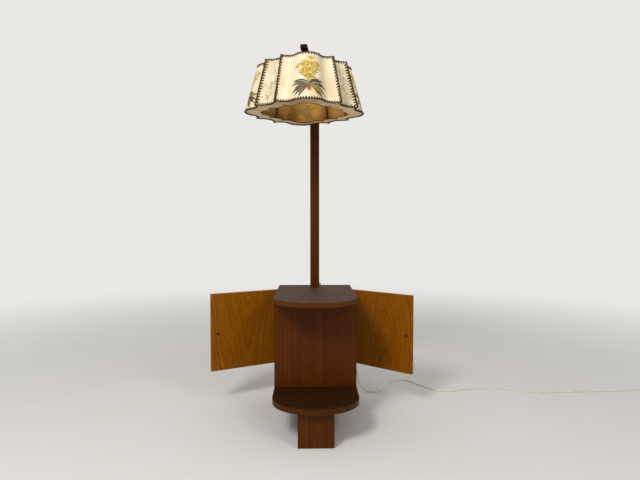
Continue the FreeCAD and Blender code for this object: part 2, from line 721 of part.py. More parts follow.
washers = []
for name, side in SIDES.items():
    at = (signed(side, "ForkInner - WasherThickness"), "0", "TiltHeight")
    outward = "+x" if side > 0 else "-x"
    washer = cylinder(f"WasherDisc_{name}", "WasherRadius", "WasherThickness", at, outward)
    washer_bore = cylinder(f"WasherBore_{name}", "TiltBoltRadius + FitGap", "WasherThickness", at, outward)
    washers.append(cut(f"Washer_{name}", washer, [washer_bore]))
sub_part("tilt_washers", group("TiltWashers", washers), swivel_place)
sub_part("tilt_bolt", fuse("TiltBolt", [
    cylinder("BoltHead", "BoltHeadRadius", "BoltHeadThickness",
             ("-ForkOuter - BoltHeadThickness", "0", "TiltHeight"), "+x"),
    cylinder("BoltShank", "TiltBoltRadius", "2 * ForkOuter + ClampBoltEnd", left_cheek, "+x"),
]), swivel_place)

# Clamp knob on the bolt's right end, with finger grooves
knob_disc = cylinder("ClampDisc", "ClampKnobRadius", "ClampKnobLength", right_cheek, "+x")
clamp_cuts = [cylinder("ClampBore", "TiltBoltRadius + RunningGap", "ClampBoltEnd + SheetGap",
                       right_cheek, "+x")]
for lobe in range(int(value.ClampKnobLobes)):
    angle = f"{lobe} * 360 / ClampKnobLobes"
    reach = "(ClampKnobRadius + ClampGrooveRadius / 2)"
    at = ("ForkOuter", f"{reach} * cos({angle})", f"TiltHeight + {reach} * sin({angle})")
    clamp_cuts.append(cylinder(f"ClampGroove{lobe}", "ClampGrooveRadius", "ClampKnobLength", at, "+x"))
sub_part("clamp_knob", cut("ClampKnob", knob_disc, clamp_cuts), swivel_place)

# Arm, built along -Y from the tilt bolt, then pitched up and swung
arm_place = (Placement(Vector(0, value.PoleY, value.TiltHeight), Rotation(Z_AXIS, -value.ArmSwing))
             * Placement(Vector(), Rotation(X_AXIS, -value.ArmPitch)))
arm_x = ("-ArmWidth / 2", "ArmWidth / 2")
slot_front = "-(HangerReach + HangerSlotFront)"
slot_rear = "-(HangerReach - HangerSlotRear)"
arm_blank = ease("ArmEased", box("ArmBlank", arm_x, ("-ArmReach", "ArmTail"),
                                 ("-ArmThickness / 2", "ArmThickness / 2")), value.ArmEase, Y_AXIS)
pin_start = ("-ArmWidth / 2", "-HangerReach", "0")
bore_start = ("0", slot_rear, "0")
bore_bend = ("0", "-ArmBoreEnd", "0")
bore_length = f"-ArmBoreEnd - ({slot_rear})"
arm_cuts = [
    cylinder("ArmBoltBore", "TiltBoltRadius + RunningGap", "ArmWidth", ("-ArmWidth / 2", "0", "0"), "+x"),
    box("HangerSlot", ("-HangerSlotWidth / 2", "HangerSlotWidth / 2"), (slot_front, slot_rear),
        ("-ArmThickness / 2", "ArmThickness / 2")),
    cylinder("HangerPinBore", "HangerPinRadius + FitGap", "ArmWidth", pin_start, "+x"),
    cylinder("ArmBore", "CordRadius + ArmBoreGap", bore_length, bore_start, "+y"),
    cylinder("ArmBoreDrop", "CordRadius + ArmBoreGap", "ArmThickness / 2", bore_bend, "-z"),
    sphere("ArmBoreElbow", "CordRadius + ArmBoreGap", bore_bend),
]
sub_part("arm", cut("Arm", arm_blank, arm_cuts), arm_place)
sub_part("hanger_pin", cylinder("HangerPin", "HangerPinRadius", "ArmWidth", pin_start, "+x"), arm_place)
sub_part("lead_in_arm", fuse("LeadInArm", [
    cylinder("LeadAlong", "CordRadius", bore_length, bore_start, "+y"),
    cylinder("LeadDown", "CordRadius", "ArmThickness / 2 + LeadDrop", bore_bend, "-z"),
    sphere("LeadBend", "CordRadius", bore_bend),
]), arm_place)

# Hanger link and lampholder, built about the hanger pin
hanger_pin_at = arm_place.multVec(Vector(0, -value.HangerReach, 0))
hanger_place = Placement(hanger_pin_at, Rotation(Z_AXIS, -value.ArmSwing))
boss_top = "(HangerBossLength - HangerDrop)"
plate_start = ("-HangerPlate / 2", "0", "0")
link_blank = fuse("LinkBlank", [
    box("LinkPlate", ("-HangerPlate / 2", "HangerPlate / 2"), ("-HangerEyeRadius", "HangerEyeRadius"),
        (boss_top, "0")),
    cylinder("LinkEye", "HangerEyeRadius", "HangerPlate", plate_start, "+x"),
    cylinder("LinkBoss", "HangerBossRadius", "HangerBossLength", ("0", "0", "-HangerDrop")),
])
link_bore = cylinder("LinkBore", "HangerPinRadius + RunningGap", "HangerPlate", plate_start, "+x")
sub_part("hanger_link", cut("HangerLink", link_blank, [link_bore]), hanger_place)
sub_part("lampholder_cap", cone("HolderCap", "HolderRadius", "HolderCapRadius", "HolderCapHeight",
                                ("0", "0", "HolderTop")), hanger_place)
holder_blank = cylinder("HolderBlank", "HolderRadius", "HolderHeight", ("0", "0", "HolderBottom"))
sub_part("lampholder", cut("Lampholder", holder_blank, [
    cylinder("HolderBore", "HolderBoreRadius", "HolderBoreDepth", ("0", "0", "HolderBottom")),
    cylinder("SwitchBore", "SwitchStemRadius + RunningGap", "SwitchDepth",
             ("HolderRadius - SwitchDepth", "0", "SwitchZ"), "+x"),
]), hanger_place)
stem_end = "HolderRadius + SwitchStemLength"
sub_part("switch_key", fuse("SwitchKey", [
    cylinder("SwitchStem", "SwitchStemRadius", "SwitchDepth + SwitchStemLength",
             ("HolderRadius - SwitchDepth", "0", "SwitchZ"), "+x"),
    box("SwitchWing", (stem_end, f"{stem_end} + SwitchKeyLength"),
        ("-SwitchKeyThickness / 2", "SwitchKeyThickness / 2"),
        ("SwitchZ - SwitchKeyWidth / 2", "SwitchZ + SwitchKeyWidth / 2")),
]), hanger_place)
ball_drop = "sqrt(BulbRadius * BulbRadius - BulbShoulderRadius * BulbShoulderRadius)"
ball_centre = ("0", "0", f"HolderBottom - BulbNeckLength - {ball_drop}")
holder_mouth = ("0", "0", "HolderBottom")
bulb_base = cylinder("BulbBase", "BulbBaseRadius", "BulbBaseLength", holder_mouth)
sub_part("bulb_base", bulb_base, hanger_place)
bulb_outside, bulb_inside = (
    fuse(f"Bulb{name}", [
        cone(f"BulbNeck{name}", f"BulbNeckRadius - {wall}", f"BulbShoulderRadius - {wall}", "BulbNeckLength",
             holder_mouth, "-z"),
        sphere(f"BulbBall{name}", f"BulbRadius - {wall}", ball_centre),
    ])
    for name, wall in (("Outside", "0"), ("Inside", "BulbWall"))
)
sub_part("bulb_glass", cut("BulbGlass", bulb_outside, [bulb_inside]), hanger_place)

# Shade, built about its own axis from its bottom rim at z = 0; the lampholder grips its hub
shade_drop = Vector(0, 0, value.HolderTop - value.ShadeGripDrop - value.HubTop)
shade_place = Placement(hanger_pin_at + shade_drop, Rotation(Z_AXIS, value.ShadeTurn))
PANELS = {"front": (0, "BowFront"), "right": (1, "BowSide"), "back": (2, "BowFront"), "left": (3, "BowSide")}
CORNERS = range(4)


def shade_scale(height):
    """How much the plan of the shade has shrunk at a height above its bottom rim."""
    return 1 - (1 - value.ShadeTopScale) * height / value.ShadeHeight


def turned(point, quarter, z=0):
    """A plan point of the front panel, carried round to another side."""
    x, y = point
    return Rotation(Z_AXIS, 90 * quarter).multVec(Vector(x, y, z))


class Bow:
    """Plan curve of a main panel: a convex arc between two concave arcs.

    The panel faces -Y. Its arcs meet smoothly, and an offset grows the convex
    arc and shrinks the concave ones about the same centres.
    """

    def __init__(self, bow_reach, scale):
        shoulder = value.BowShoulder * scale
        shoulder_reach = value.BowShoulderReach * scale
        edge = value.PanelEdge * scale
        edge_reach = value.PanelEdgeReach * scale
        rise = bow_reach * scale - shoulder_reach
        self.bow_radius = (shoulder ** 2 + rise ** 2) / (2 * rise)
        self.bow_centre = shoulder_reach + rise - self.bow_radius
        self.bow_half_angle = math.asin(shoulder / self.bow_radius)
        chord = math.hypot(edge - shoulder, edge_reach - shoulder_reach)
        chord_slope = math.atan2(edge_reach - shoulder_reach, edge - shoulder)
        self.flare_half_angle = self.bow_half_angle + chord_slope
        self.flare_radius = chord / (2 * math.sin(self.flare_half_angle))
        self.flare_x = shoulder + self.flare_radius * math.sin(self.bow_half_angle)
        self.flare_y = shoulder_reach + self.flare_radius * math.cos(self.bow_half_angle)

    def bow_point(self, angle, offset):
        """A point of the convex arc, by its angle from the middle."""
        radius = self.bow_radius + offset
        return radius * math.sin(angle), -(self.bow_centre + radius * math.cos(angle))

    def flare_point(self, share, offset, side):
        """A point of a concave arc, from its shoulder (0) to the panel's edge (1)."""
        angle = -self.bow_half_angle + 2 * self.flare_half_angle * share
        radius = self.flare_radius - offset
        return side * (self.flare_x + radius * math.sin(angle)), -(self.flare_y - radius * math.cos(angle))

    def edges(self, offset, quarter, z):
        """The three arcs from the left edge to the right edge at an offset."""
        def at(point):
            return turned(point, quarter, z)
        left = [self.flare_point(share, offset, -1) for share in (1, 0.5, 0)]
        right = [self.flare_point(share, offset, 1) for share in (0, 0.5, 1)]
        middle = [left[-1], self.bow_point(0, offset), right[0]]
        return [Part.Arc(*map(at, points)).toShape() for points in (left, middle, right)]


class Cove:
    """Plan curve of a corner panel: an arc that dips in between two main panels' edges."""

    def __init__(self, scale):
        half_span = (value.PanelEdgeReach - value.PanelEdge) * scale / math.sqrt(2)
        depth = value.CoveDepth * scale
        self.radius = (half_span ** 2 + depth ** 2) / (2 * depth)
        self.centre = value.CornerReach * scale + self.radius
        self.half_angle = math.atan2(half_span, self.radius - depth)

    def edges(self, offset, quarter, z, gap=0):
        """The arc at an offset, its ends a gap short of the main panels' edges."""
        end = self.half_angle - gap / self.radius
        radius = self.radius - offset
        diagonal = Rotation(Z_AXIS, 45 + 90 * quarter)
        points = [diagonal.multVec(Vector(radius * math.sin(angle), radius * math.cos(angle) - self.centre, z))
                  for angle in (-end, 0, end)]
        return [Part.Arc(*points).toShape()]


def strip(outer, inner):
    """A closed wire around two chains of edges that run the same way."""
    start = Part.makeLine(inner[0].Vertexes[0].Point, outer[0].Vertexes[0].Point)
    end = Part.makeLine(outer[-1].Vertexes[-1].Point, inner[-1].Vertexes[-1].Point)
    return Part.Wire(Part.__sortEdges__(outer + [end] + inner + [start]))


def panel_wire(quarter, bow_name, height, half_width):
    """The outline of a main panel's section at a height, by half its thickness."""
    bow = Bow(getattr(value, bow_name), shade_scale(height))
    return strip(bow.edges(half_width, quarter, height), bow.edges(-half_width, quarter, height))


def corner_wire(quarter, height, half_width, gap):
    """The outline of a corner panel's section at a height, a gap short of its neighbours' edges."""
    cove = Cove(shade_scale(height))
    return strip(cove.edges(half_width, quarter, height, gap), cove.edges(-half_width, quarter, height, gap))


def loft(wires):
    """A solid between two sections, with straight rulings."""
    return Part.makeLoft(wires, True, True)


def prism(wire, height):
    """A solid that stands on a flat outline."""
    return Part.Face(wire).extrude(Vector(0, 0, height))


half_sheet = value.ParchmentThickness / 2
for name, (quarter, bow_name) in PANELS.items():
    panel = loft([panel_wire(quarter, bow_name, height, half_sheet) for height in (0, value.ShadeHeight)])
    sub_part(f"{name}_shade_panel", feature(f"ShadePanel_{name}", panel), shade_place)
corner_panels = [
    feature(f"CornerPanel{quarter}",
            loft([corner_wire(quarter, height, half_sheet, value.CornerPanelGap)
                  for height in (0, value.ShadeHeight)]))
    for quarter in CORNERS
]
sub_part("corner_shade_panels", group("CornerPanels", corner_panels), shade_place)


def shade_outline(scale, z):
    """The whole closed plan of the shade: four bows joined by coves."""
    edges = []
    for quarter, bow_name in PANELS.values():
        edges += Bow(getattr(value, bow_name), scale).edges(0, quarter, z)
        edges += Cove(scale).edges(0, quarter, z)
    return Part.Wire(Part.__sortEdges__(edges))


def ring(scale, low, high, outer_offset, inner_offset):
    """A flat-sided wire ring that follows the shade's plan."""
    outline = shade_outline(scale, low)
    outer = Part.Face(outline.makeOffset2D(-outer_offset))
    inner = Part.Face(outline.makeOffset2D(-inner_offset))
    return outer.cut(inner).extrude(Vector(0, 0, high - low))


ring_offset = half_sheet + value.SheetGap
low_ring_z = value.ParchmentThickness + value.SheetGap
high_ring_z = value.ShadeHeight - value.SheetGap - value.WireSize
low_ring = ring(shade_scale(low_ring_z + value.WireSize), low_ring_z, low_ring_z + value.WireSize,
                ring_offset, ring_offset + value.WireSize)
high_ring = ring(value.ShadeTopScale, high_ring_z, high_ring_z + value.WireSize,
                 ring_offset, ring_offset + value.WireSize)
frame_wires = [low_ring, high_ring]
for quarter, bow_name in PANELS.values():
    for side in SIDES.values():
        ends = []
        for height in (low_ring_z + value.WireSize / 2, high_ring_z + value.WireSize / 2):
            x, y = Bow(getattr(value, bow_name), shade_scale(height)).flare_point(1, 0, side)
            inward = 1 - value.RibInset / math.hypot(x, y)
            ends.append(turned((x * inward, y * inward), quarter, height))
        run = ends[1] - ends[0]
        frame_wires.append(Part.makeCylinder(value.RibRadius, run.Length, ends[0], run))
shade_frame = frame_wires[0].fuse(frame_wires[1:])
sub_part("shade_wire_frame", feature("ShadeWireFrame", shade_frame), shade_place)

collar_outer = Part.Face(shade_outline(shade_scale(value.ParchmentThickness), 0).makeOffset2D(-ring_offset))
collar_inner = Part.Face(shade_outline(value.CollarScale, 0))
shade_collar = collar_outer.cut(collar_inner).extrude(Vector(0, 0, value.ParchmentThickness))
sub_part("shade_collar", feature("ShadeCollar", shade_collar), shade_place)

# Lacing: a bead along each rim of each panel, and one down each edge of each main panel
lacing_half = value.LacingWidth / 2
for name, height, rise in (("lacing_bottom", 0, -value.LacingHeight),
                           ("lacing_top", value.ShadeHeight, value.LacingHeight)):
    beads = [feature(f"{name}_{panel}", prism(panel_wire(quarter, bow_name, height, lacing_half), rise))
             for panel, (quarter, bow_name) in PANELS.items()]
    beads += [feature(f"{name}_corner{quarter}",
                      prism(corner_wire(quarter, height, lacing_half, value.CornerLacingGap), rise))
              for quarter in CORNERS]
    sub_part(name, group(f"{name}_beads", beads), shade_place)

seam_step = value.SeamRadius + value.SeamGap
seams = []
for name, (quarter, bow_name) in PANELS.items():
    for side_name, side in SIDES.items():
        ends = []
        for height in (0, value.ShadeHeight):
            bow = Bow(getattr(value, bow_name), shade_scale(height))
            x, y = bow.flare_point(1, 0, side)
            lean = 2 * bow.flare_half_angle - bow.bow_half_angle
            edge = (x + side * seam_step * math.cos(lean), y - seam_step * math.sin(lean))
            ends.append(turned(edge, quarter, height))
        run = ends[1] - ends[0]
        seams.append(feature(f"Seam_{name}_{side_name}",
                             Part.makeCylinder(value.SeamRadius, run.Length, ends[0], run)))
sub_part("lacing_seams", group("LacingSeams", seams), shade_place)

# Carrier: a hub ring on the lampholder and four wires to the top ring
carrier_reach = value.CornerReach * value.ShadeTopScale - ring_offset - value.WireSize
carrier_z = (value.HubTop + value.HubBottom) / 2
hub = Part.makeCylinder(value.CarrierHubRadius, value.CarrierThickness, Vector(0, 0, value.HubBottom))
wires = []
for quarter in CORNERS:
    out = Rotation(Z_AXIS, 45 + 90 * quarter).multVec(Vector(0, -1, 0))
    start = out * (value.CarrierHubRadius - value.CarrierThickness)
    wires.append(Part.makeCylinder(value.CarrierWireRadius, carrier_reach - start.Length,
                                   start + Vector(0, 0, carrier_z), out))
hub_hole = Part.makeCylinder(value.HolderRadius + value.FitGap, 4 * value.CarrierThickness,
                             Vector(0, 0, value.HubBottom - value.CarrierThickness))
carrier = hub.fuse(wires).cut(hub_hole)
sub_part("shade_carrier", feature("ShadeCarrier", carrier), shade_place)

shade_rings = []
for name, low in (("upper", value.HubTop), ("lower", value.HubBottom - value.ShadeRingHeight)):
    disc = Part.makeCylinder(value.ShadeRingRadius, value.ShadeRingHeight, Vector(0, 0, low))
    bore = Part.makeCylinder(value.HolderRadius + value.FitGap, value.ShadeRingHeight, Vector(0, 0, low))
    shade_rings.append(feature(f"ShadeRing_{name}", disc.cut(bore)))
sub_part("shade_ring_nuts", group("ShadeRingNuts", shade_rings), shade_place)


# Cord: straight runs joined by tangent arcs
def rounded_route(points):
    """A wire through straight runs and arcs, and the arcs' radii."""
    edges = []
    radii = []
    start = points[0]
    for before, corner, after in zip(points, points[1:], points[2:]):
        into = corner - before
        out = after - corner
        trim = 0.45 * min(into.Length, out.Length)
        half_turn = into.getAngle(out) / 2
        radius = trim / math.tan(half_turn)
        first = corner - into.normalize() * trim
        last = corner + out.normalize() * trim
        middle = (first + last) / 2
        to_corner = corner - middle
        sagitta = radius * (1 - math.cos(half_turn))
        edges.append(Part.makeLine(start, first))
        edges.append(Part.Arc(first, middle + to_corner.normalize() * sagitta, last).toShape())
        radii.append(radius)
        start = last
    edges.append(Part.makeLine(start, points[-1]))
    return Part.Wire(edges), radii


def tube(path, radius):
    """A solid tube along a path, with its volume compared to section times length."""
    start = path.Edges[0].Vertexes[0].Point
    along = path.Edges[0].tangentAt(path.Edges[0].FirstParameter)
    section = Part.Wire(Part.makeCircle(radius, start, along))
    solid = path.makePipeShell([section], True, False)
    share = solid.Volume / (math.pi * radius ** 2 * path.Length)
    print(f"tube: length {path.Length:.1f} mm, volume over section times length {share:.5f}")
    return solid


floor_z = value.CordRadius + value.CordFloorGap
cord_start = Vector(0, value.PoleY + value.PoleWidth / 2 + value.GrommetFlange, value.CordExitHeight)
COIL_CENTRE = (1850, 401)
coil_start = Vector(COIL_CENTRE[0], COIL_CENTRE[1] - value.CoilRadius, floor_z)
cord_diameter = 2 * value.CordRadius
cord_end = coil_start - Vector(cord_diameter, 0, 0)
cord_points = ([cord_start] + [Vector(*point) for point in CORD_DROP]
               + [Vector(x, y, floor_z) for x, y in CORD_FLOOR]
               + [cord_end])
cord_path, cord_radii = rounded_route(cord_points)
print("cord bend radii:", " ".join(f"{radius:.0f}" for radius in cord_radii))
sub_part("cord", feature("Cord", tube(cord_path, value.CordRadius)))

# Coil: in on the floor layer, a climb in the half turn where it reverses, out on the second layer
quarters_climb = round(4 * value.CoilClimbTurns)
quarters_in = (round(4 * value.CoilTurns) - quarters_climb) // 2
quarters = 2 * quarters_in + quarters_climb
layer_rise = cord_diameter + value.CoilLayerGap


def coil_knot(step):
    """Centre line and heading of the coil after a number of quarter turns."""
    angle = math.radians(90 * step - 90)
    climb = min(max((step - quarters_in) / quarters_climb, 0), 1)
    turns_in = min(step, quarters_in, quarters - step) / 4
    radius = value.CoilRadius - value.CoilPitch * turns_in
    draw = -value.CoilPitch if step < quarters_in else value.CoilPitch
    straight = step in (0, quarters) or 0 < climb < 1
    draw_in = 0 if straight else draw / (2 * math.pi)
    lift = 1.5 * layer_rise / (math.pi / 2 * quarters_climb) if 0 < climb < 1 else 0
    point = Vector(COIL_CENTRE[0] + radius * math.cos(angle), COIL_CENTRE[1] + radius * math.sin(angle),
                   floor_z + layer_rise * climb)
    heading = Vector(draw_in * math.cos(angle) - radius * math.sin(angle),
                     draw_in * math.sin(angle) + radius * math.cos(angle), lift)
    return point, heading.normalize()


def half_biarc(start, corner, end):
    """An arc from start to end whose tangents meet at the corner."""
    middle = (start + end) / 2
    bulge = corner - middle
    half_chord = (end - start).Length / 2
    sagitta = half_chord * math.tan(math.atan2(bulge.Length, half_chord) / 2)
    return Part.Arc(start, middle + bulge.normalize() * sagitta, end).toShape()


def biarc(start, heading_in, end, heading_out):
    """Two arcs from one point and heading to another."""
    span = end - start
    spread = 2 * (heading_in.dot(heading_out) - 1)
    pull = -2 * span.dot(heading_in + heading_out)
    reach = (-pull - math.sqrt(pull ** 2 - 4 * spread * span.dot(span))) / (2 * spread)
    first = start + heading_in * reach
    last = end - heading_out * reach
    joint = (first + last) / 2
    return [half_biarc(start, first, joint), half_biarc(joint, last, end)]


knots = [coil_knot(step) for step in range(quarters + 1)]
coil_edges = [Part.makeLine(knots[0][0] - knots[0][1] * cord_diameter, knots[0][0])]
for (start, heading_in), (end, heading_out) in zip(knots, knots[1:]):
    coil_edges += biarc(start, heading_in, end, heading_out)
coil_edges.append(Part.makeLine(knots[-1][0], knots[-1][0] + knots[-1][1] * cord_diameter))
coil_path = Part.Wire(coil_edges)
samples = [point for edge in coil_edges for point in edge.discretize(Number=12)]
reach_apart = 2 * cord_diameter
along = [0.0]
for before, after in zip(samples, samples[1:]):
    along.append(along[-1] + (after - before).Length)
least = min((first - second).Length
            for i, first in enumerate(samples) for j, second in enumerate(samples[:i])
            if along[i] - along[j] > reach_apart)
print(f"coil: least gap to itself {least - cord_diameter:.2f} mm")
sub_part("cord_coil", feature("CordCoil", tube(coil_path, value.CordRadius)))

# Two-pin plug, lying on the floor at the height of the coil's end
plug_at = knots[-1][0] + Vector(cord_diameter, 0, 0)
plug_face = plug_at.x + value.PlugReliefLength
relief = Part.makeCone(value.CordRadius, value.PlugReliefRadius, value.PlugReliefLength, plug_at, X_AXIS)
body = Part.makeBox(value.PlugLength, value.PlugWidth, 2 * plug_at.z,
                    Vector(plug_face, plug_at.y - value.PlugWidth / 2, 0))
upright = [edge for edge in body.Edges if abs(edge.tangentAt(edge.FirstParameter).z) > 0.9]
body = body.makeFillet(value.PlugEase, upright)
sub_part("plug_body", feature("PlugBody", body.fuse(relief).removeSplitter()))
sub_part("plug_pins", group("PlugPins", [
    feature(f"PlugPin_{name}",
            Part.makeCylinder(value.PlugPinRadius, value.PlugPinLength,
                              Vector(plug_face + value.PlugLength,
                                     plug_at.y + side * value.PlugPinSpacing / 2, plug_at.z), X_AXIS))
    for name, side in SIDES.items()
]))

# Rebuild, check every object, and write one file for each sub-part
document.recompute()
faults = [f"{item.Name}: {item.State}" for item in document.Objects
          if {"Invalid", "Error"} & set(item.State)]
for item in sub_parts:
    if item.Shape.isNull() or not item.Shape.isValid() or not item.Shape.Solids:
        faults.append(f"{item.Label}: no valid solid")
if faults:
    raise RuntimeError("; ".join(faults))

os.makedirs("parts", exist_ok=True)
for item in sub_parts:
    item.Shape.exportStep(f"parts/{item.Label}.step")
    bounds = item.Shape.BoundBox
    print(f"{item.Label}: {len(item.Shape.Solids)} solid(s), {item.Shape.Volume / 1000:.1f} cm3, "
          f"z {bounds.ZMin:.1f} to {bounds.ZMax:.1f}")
print(len(sub_parts), "sub-parts")
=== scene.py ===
"""Looks of a mid-century floor lamp with a side cabinet and a laced parchment shade.

Metres, +Z up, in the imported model's own frame: -Y is the front, where the round
ends of the two boards point. Pattern sizes in the finishes are millimetres.
"""
import logging
import math
import random
from collections.abc import Callable, Iterable, Sequence
from dataclasses import dataclass, field
from enum import Enum

import bmesh
import bpy
from mathutils import Matrix, Vector


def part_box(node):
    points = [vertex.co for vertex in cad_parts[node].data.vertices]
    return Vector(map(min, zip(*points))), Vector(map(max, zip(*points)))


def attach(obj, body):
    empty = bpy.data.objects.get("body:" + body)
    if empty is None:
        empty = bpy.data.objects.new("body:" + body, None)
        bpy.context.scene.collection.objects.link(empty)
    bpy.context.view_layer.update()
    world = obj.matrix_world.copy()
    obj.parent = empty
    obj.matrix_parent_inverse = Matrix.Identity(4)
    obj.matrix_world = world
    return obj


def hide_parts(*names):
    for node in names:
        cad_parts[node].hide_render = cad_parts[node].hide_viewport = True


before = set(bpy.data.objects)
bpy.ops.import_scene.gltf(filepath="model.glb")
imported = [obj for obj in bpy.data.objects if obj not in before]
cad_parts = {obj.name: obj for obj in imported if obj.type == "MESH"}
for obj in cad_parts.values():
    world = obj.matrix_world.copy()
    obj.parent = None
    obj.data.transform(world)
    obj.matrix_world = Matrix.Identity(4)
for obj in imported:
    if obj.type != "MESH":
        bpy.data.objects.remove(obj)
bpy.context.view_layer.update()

log = logging.getLogger("lamp")
MM = 0.001
Pair = tuple[float, float]
Spot = tuple[float, float]
Triple = tuple[float, float, float]
Colour = tuple[float, float, float, float]
Tree = bpy.types.NodeTree
Node = bpy.types.Node
Socket = bpy.types.NodeSocket
Mesh = bpy.types.Mesh
Object = bpy.types.Object


def linear(hex_colour: str) -> Colour:
    """Turn an sRGB colour into the linear values that a shader takes.

    Args:
        hex_colour: The colour as #RRGGBB.

    Returns:
        Linear red, green and blue, and an alpha of 1.
    """
    channels = [int(hex_colour[start:start + 2], 16) / 255 for start in (1, 3, 5)]
    red, green, blue = (c / 12.92 if c <= 0.04045 else ((c + 0.055) / 1.055) ** 2.4 for c in channels)
    return red, green, blue, 1.0


def add_node(tree: Tree, kind: str, inputs: dict[str | int, object] | None = None,
             **settings: object) -> Node:
    """Add a node with its settings and its inputs.

    Args:
        tree: The tree that gets the node.
        kind: The node's type.
        inputs: Input socket by name or number, to the socket to link from or the value to set.
        **settings: Properties of the node.

    Returns:
        The new node.
    """
    node = tree.nodes.new(kind)
    for name, setting in settings.items():
        setattr(node, name, setting)
    for key, source in (inputs or {}).items():
        if isinstance(source, Socket):
            tree.links.new(source, node.inputs[key])
        else:
            node.inputs[key].default_value = source
    return node


def math_node(tree: Tree, operation: str, *values: Socket | float) -> Socket:
    """The result of one arithmetic operation on sockets and numbers."""
    return add_node(tree, "ShaderNodeMath", dict(enumerate(values)), operation=operation).outputs[0]


def in_millimetres(tree: Tree, centre: Sequence[float] = (0, 0, 0),
                   turn: Sequence[float] = (0, 0, 0)) -> Socket:
    """Object coordinates in millimetres, on a piece's own axes.

    Args:
        tree: The material's tree.
        centre: The pattern's zero point, in metres.
        turn: The pattern's turn about X, Y and Z, in degrees.

    Returns:
        The vector socket to read.
    """
    place = add_node(tree, "ShaderNodeTexCoord")
    mapping = add_node(tree, "ShaderNodeMapping",
                       {"Vector": place.outputs["Object"], "Location": centre,
                        "Rotation": [math.radians(angle) for angle in turn], "Scale": (MM, MM, MM)},
                       vector_type="TEXTURE")
    return mapping.outputs["Vector"]


def ramp(tree: Tree, source: Socket, low: float, high: float,
         to_low: float = 0.0, to_high: float = 1.0) -> Socket:
    """A value carried smoothly from one range into another.

    Args:
        tree: The material's tree.
        source: The value.
        low: Where the range starts.
        high: Where it ends.
        to_low: The result at the start.
        to_high: The result at the end.

    Returns:
        The value socket to read.
    """
    return add_node(tree, "ShaderNodeMapRange",
                    {"Value": source, "From Min": low, "From Max": high, "To Min": to_low, "To Max": to_high},
                    interpolation_type="SMOOTHSTEP").outputs[0]


@dataclass(frozen=True)
class Patches:
    """Soft patches of a real size in millimetres, the same on all axes or one for each.

    The noise levels low and high become 0 and 1, and detail counts its finer octaves.
    """

    size: float | Triple
    low: float = 0.35
    high: float = 0.65
    detail: float = 2.0

    def drawn(self, tree: Tree, place: Socket) -> Socket:
        """Draw the patches.

        Args:
            tree: The material's tree.
            place: Coordinates in millimetres.

        Returns:
            The value socket to read, from 0 to 1.
        """
        widths = self.size if isinstance(self.size, tuple) else (self.size,) * 3
        scaled = add_node(tree, "ShaderNodeVectorMath", {0: place, 1: [1 / width for width in widths]},
                          operation="MULTIPLY")
        noise = add_node(tree, "ShaderNodeTexNoise",
                         {"Vector": scaled.outputs[0], "Scale": 1.0, "Detail": self.detail})
        return ramp(tree, noise.outputs[0], self.low, self.high)


def blend_colours(tree: Tree, share: Socket | float, first: Socket | Colour,
                  second: Socket | Colour) -> Socket:
    """A colour between two colours, by a share from 0 to 1."""
    return add_node(tree, "ShaderNodeMix", {0: share, 6: first, 7: second}, data_type="RGBA").outputs[2]


def emboss(tree: Tree, shader: Node, height: Socket, depth: float,
           strength: float = 0.5) -> None:
    """Raise a pattern on the surface.

    Args:
        tree: The material's tree.
        shader: The shader whose normal is bent.
        height: The pattern, from 0 to 1.
        depth: The pattern's real depth, in millimetres.
        strength: How much of it shows.
    """
    bump = add_node(tree, "ShaderNodeBump", {"Height": height, "Distance": depth * MM, "Strength": strength})
    tree.links.new(bump.outputs["Normal"], shader.inputs["Normal"])


def tint(tree: Tree, shader: Node, share: Socket, first: str, second: str) -> None:
    """Colour a shader between two sRGB colours, by a share from 0 to 1."""
    tree.links.new(blend_colours(tree, share, linear(first), linear(second)), shader.inputs["Base Color"])


def roughen(tree: Tree, shader: Node, share: Socket, low: float, high: float) -> None:
    """Spread a shader's roughness between two levels, by a share from 0 to 1."""
    tree.links.new(ramp(tree, share, 0, 1, low, high), shader.inputs["Roughness"])


def set_levels(shader: Node, levels: dict[str, float]) -> None:
    """Set constant levels on a shader's own sockets."""
    for name, level in levels.items():
        shader.inputs[name].default_value = level


def seen_strength(tree: Tree, ambient: float) -> Socket:
    """The backdrop's strength: 1 for the eye, gloss and glass, and less for the rest.

    Args:
        tree: The material's tree.
        ambient: The level for the rest.

    Returns:
        The value socket to read.
    """
    path = add_node(tree, "ShaderNodeLightPath")
    seen = path.outputs["Is Camera Ray"]
    for name in ("Is Glossy Ray", "Is Transmission Ray"):
        seen = math_node(tree, "MAXIMUM", seen, path.outputs[name])
    return add_node(tree, "ShaderNodeMapRange", {"Value": seen, "To Min": ambient, "To Max": 1.0}).outputs[0]


@dataclass(frozen=True)
class Finish:
    """A finish, which makes its own material on first use."""

    name: str

    def material(self) -> bpy.types.Material:
        """Find the finish's material, or make it.

        Returns:
            The material.
        """
        known = bpy.data.materials.get(self.name)
        if known:
            return known
        made = bpy.data.materials.new(self.name)
        made.use_nodes = True
        tree = made.node_tree
        tree.nodes.clear()
        add_node(tree, "ShaderNodeOutputMaterial", {"Surface": self.surface(tree)})
        return made

    def surface(self, tree: Tree) -> Socket:
        """Make the finish's shader.

        Args:
            tree: The material's tree.

        Returns:
            The shader's socket.
        """
        shader = add_node(tree, "ShaderNodeBsdfPrincipled")
        self.shade(tree, shader)
        return shader.outputs["BSDF"]

    def shade(self, tree: Tree, shader: Node) -> None:
        """Link the finish's pattern to the shader."""
        raise NotImplementedError


class Figure(Enum):
    """How a veneer or a board was cut from the log, which sets the lines of its grain."""

    QUARTERED = "straight lines"
    CROWN = "arches"


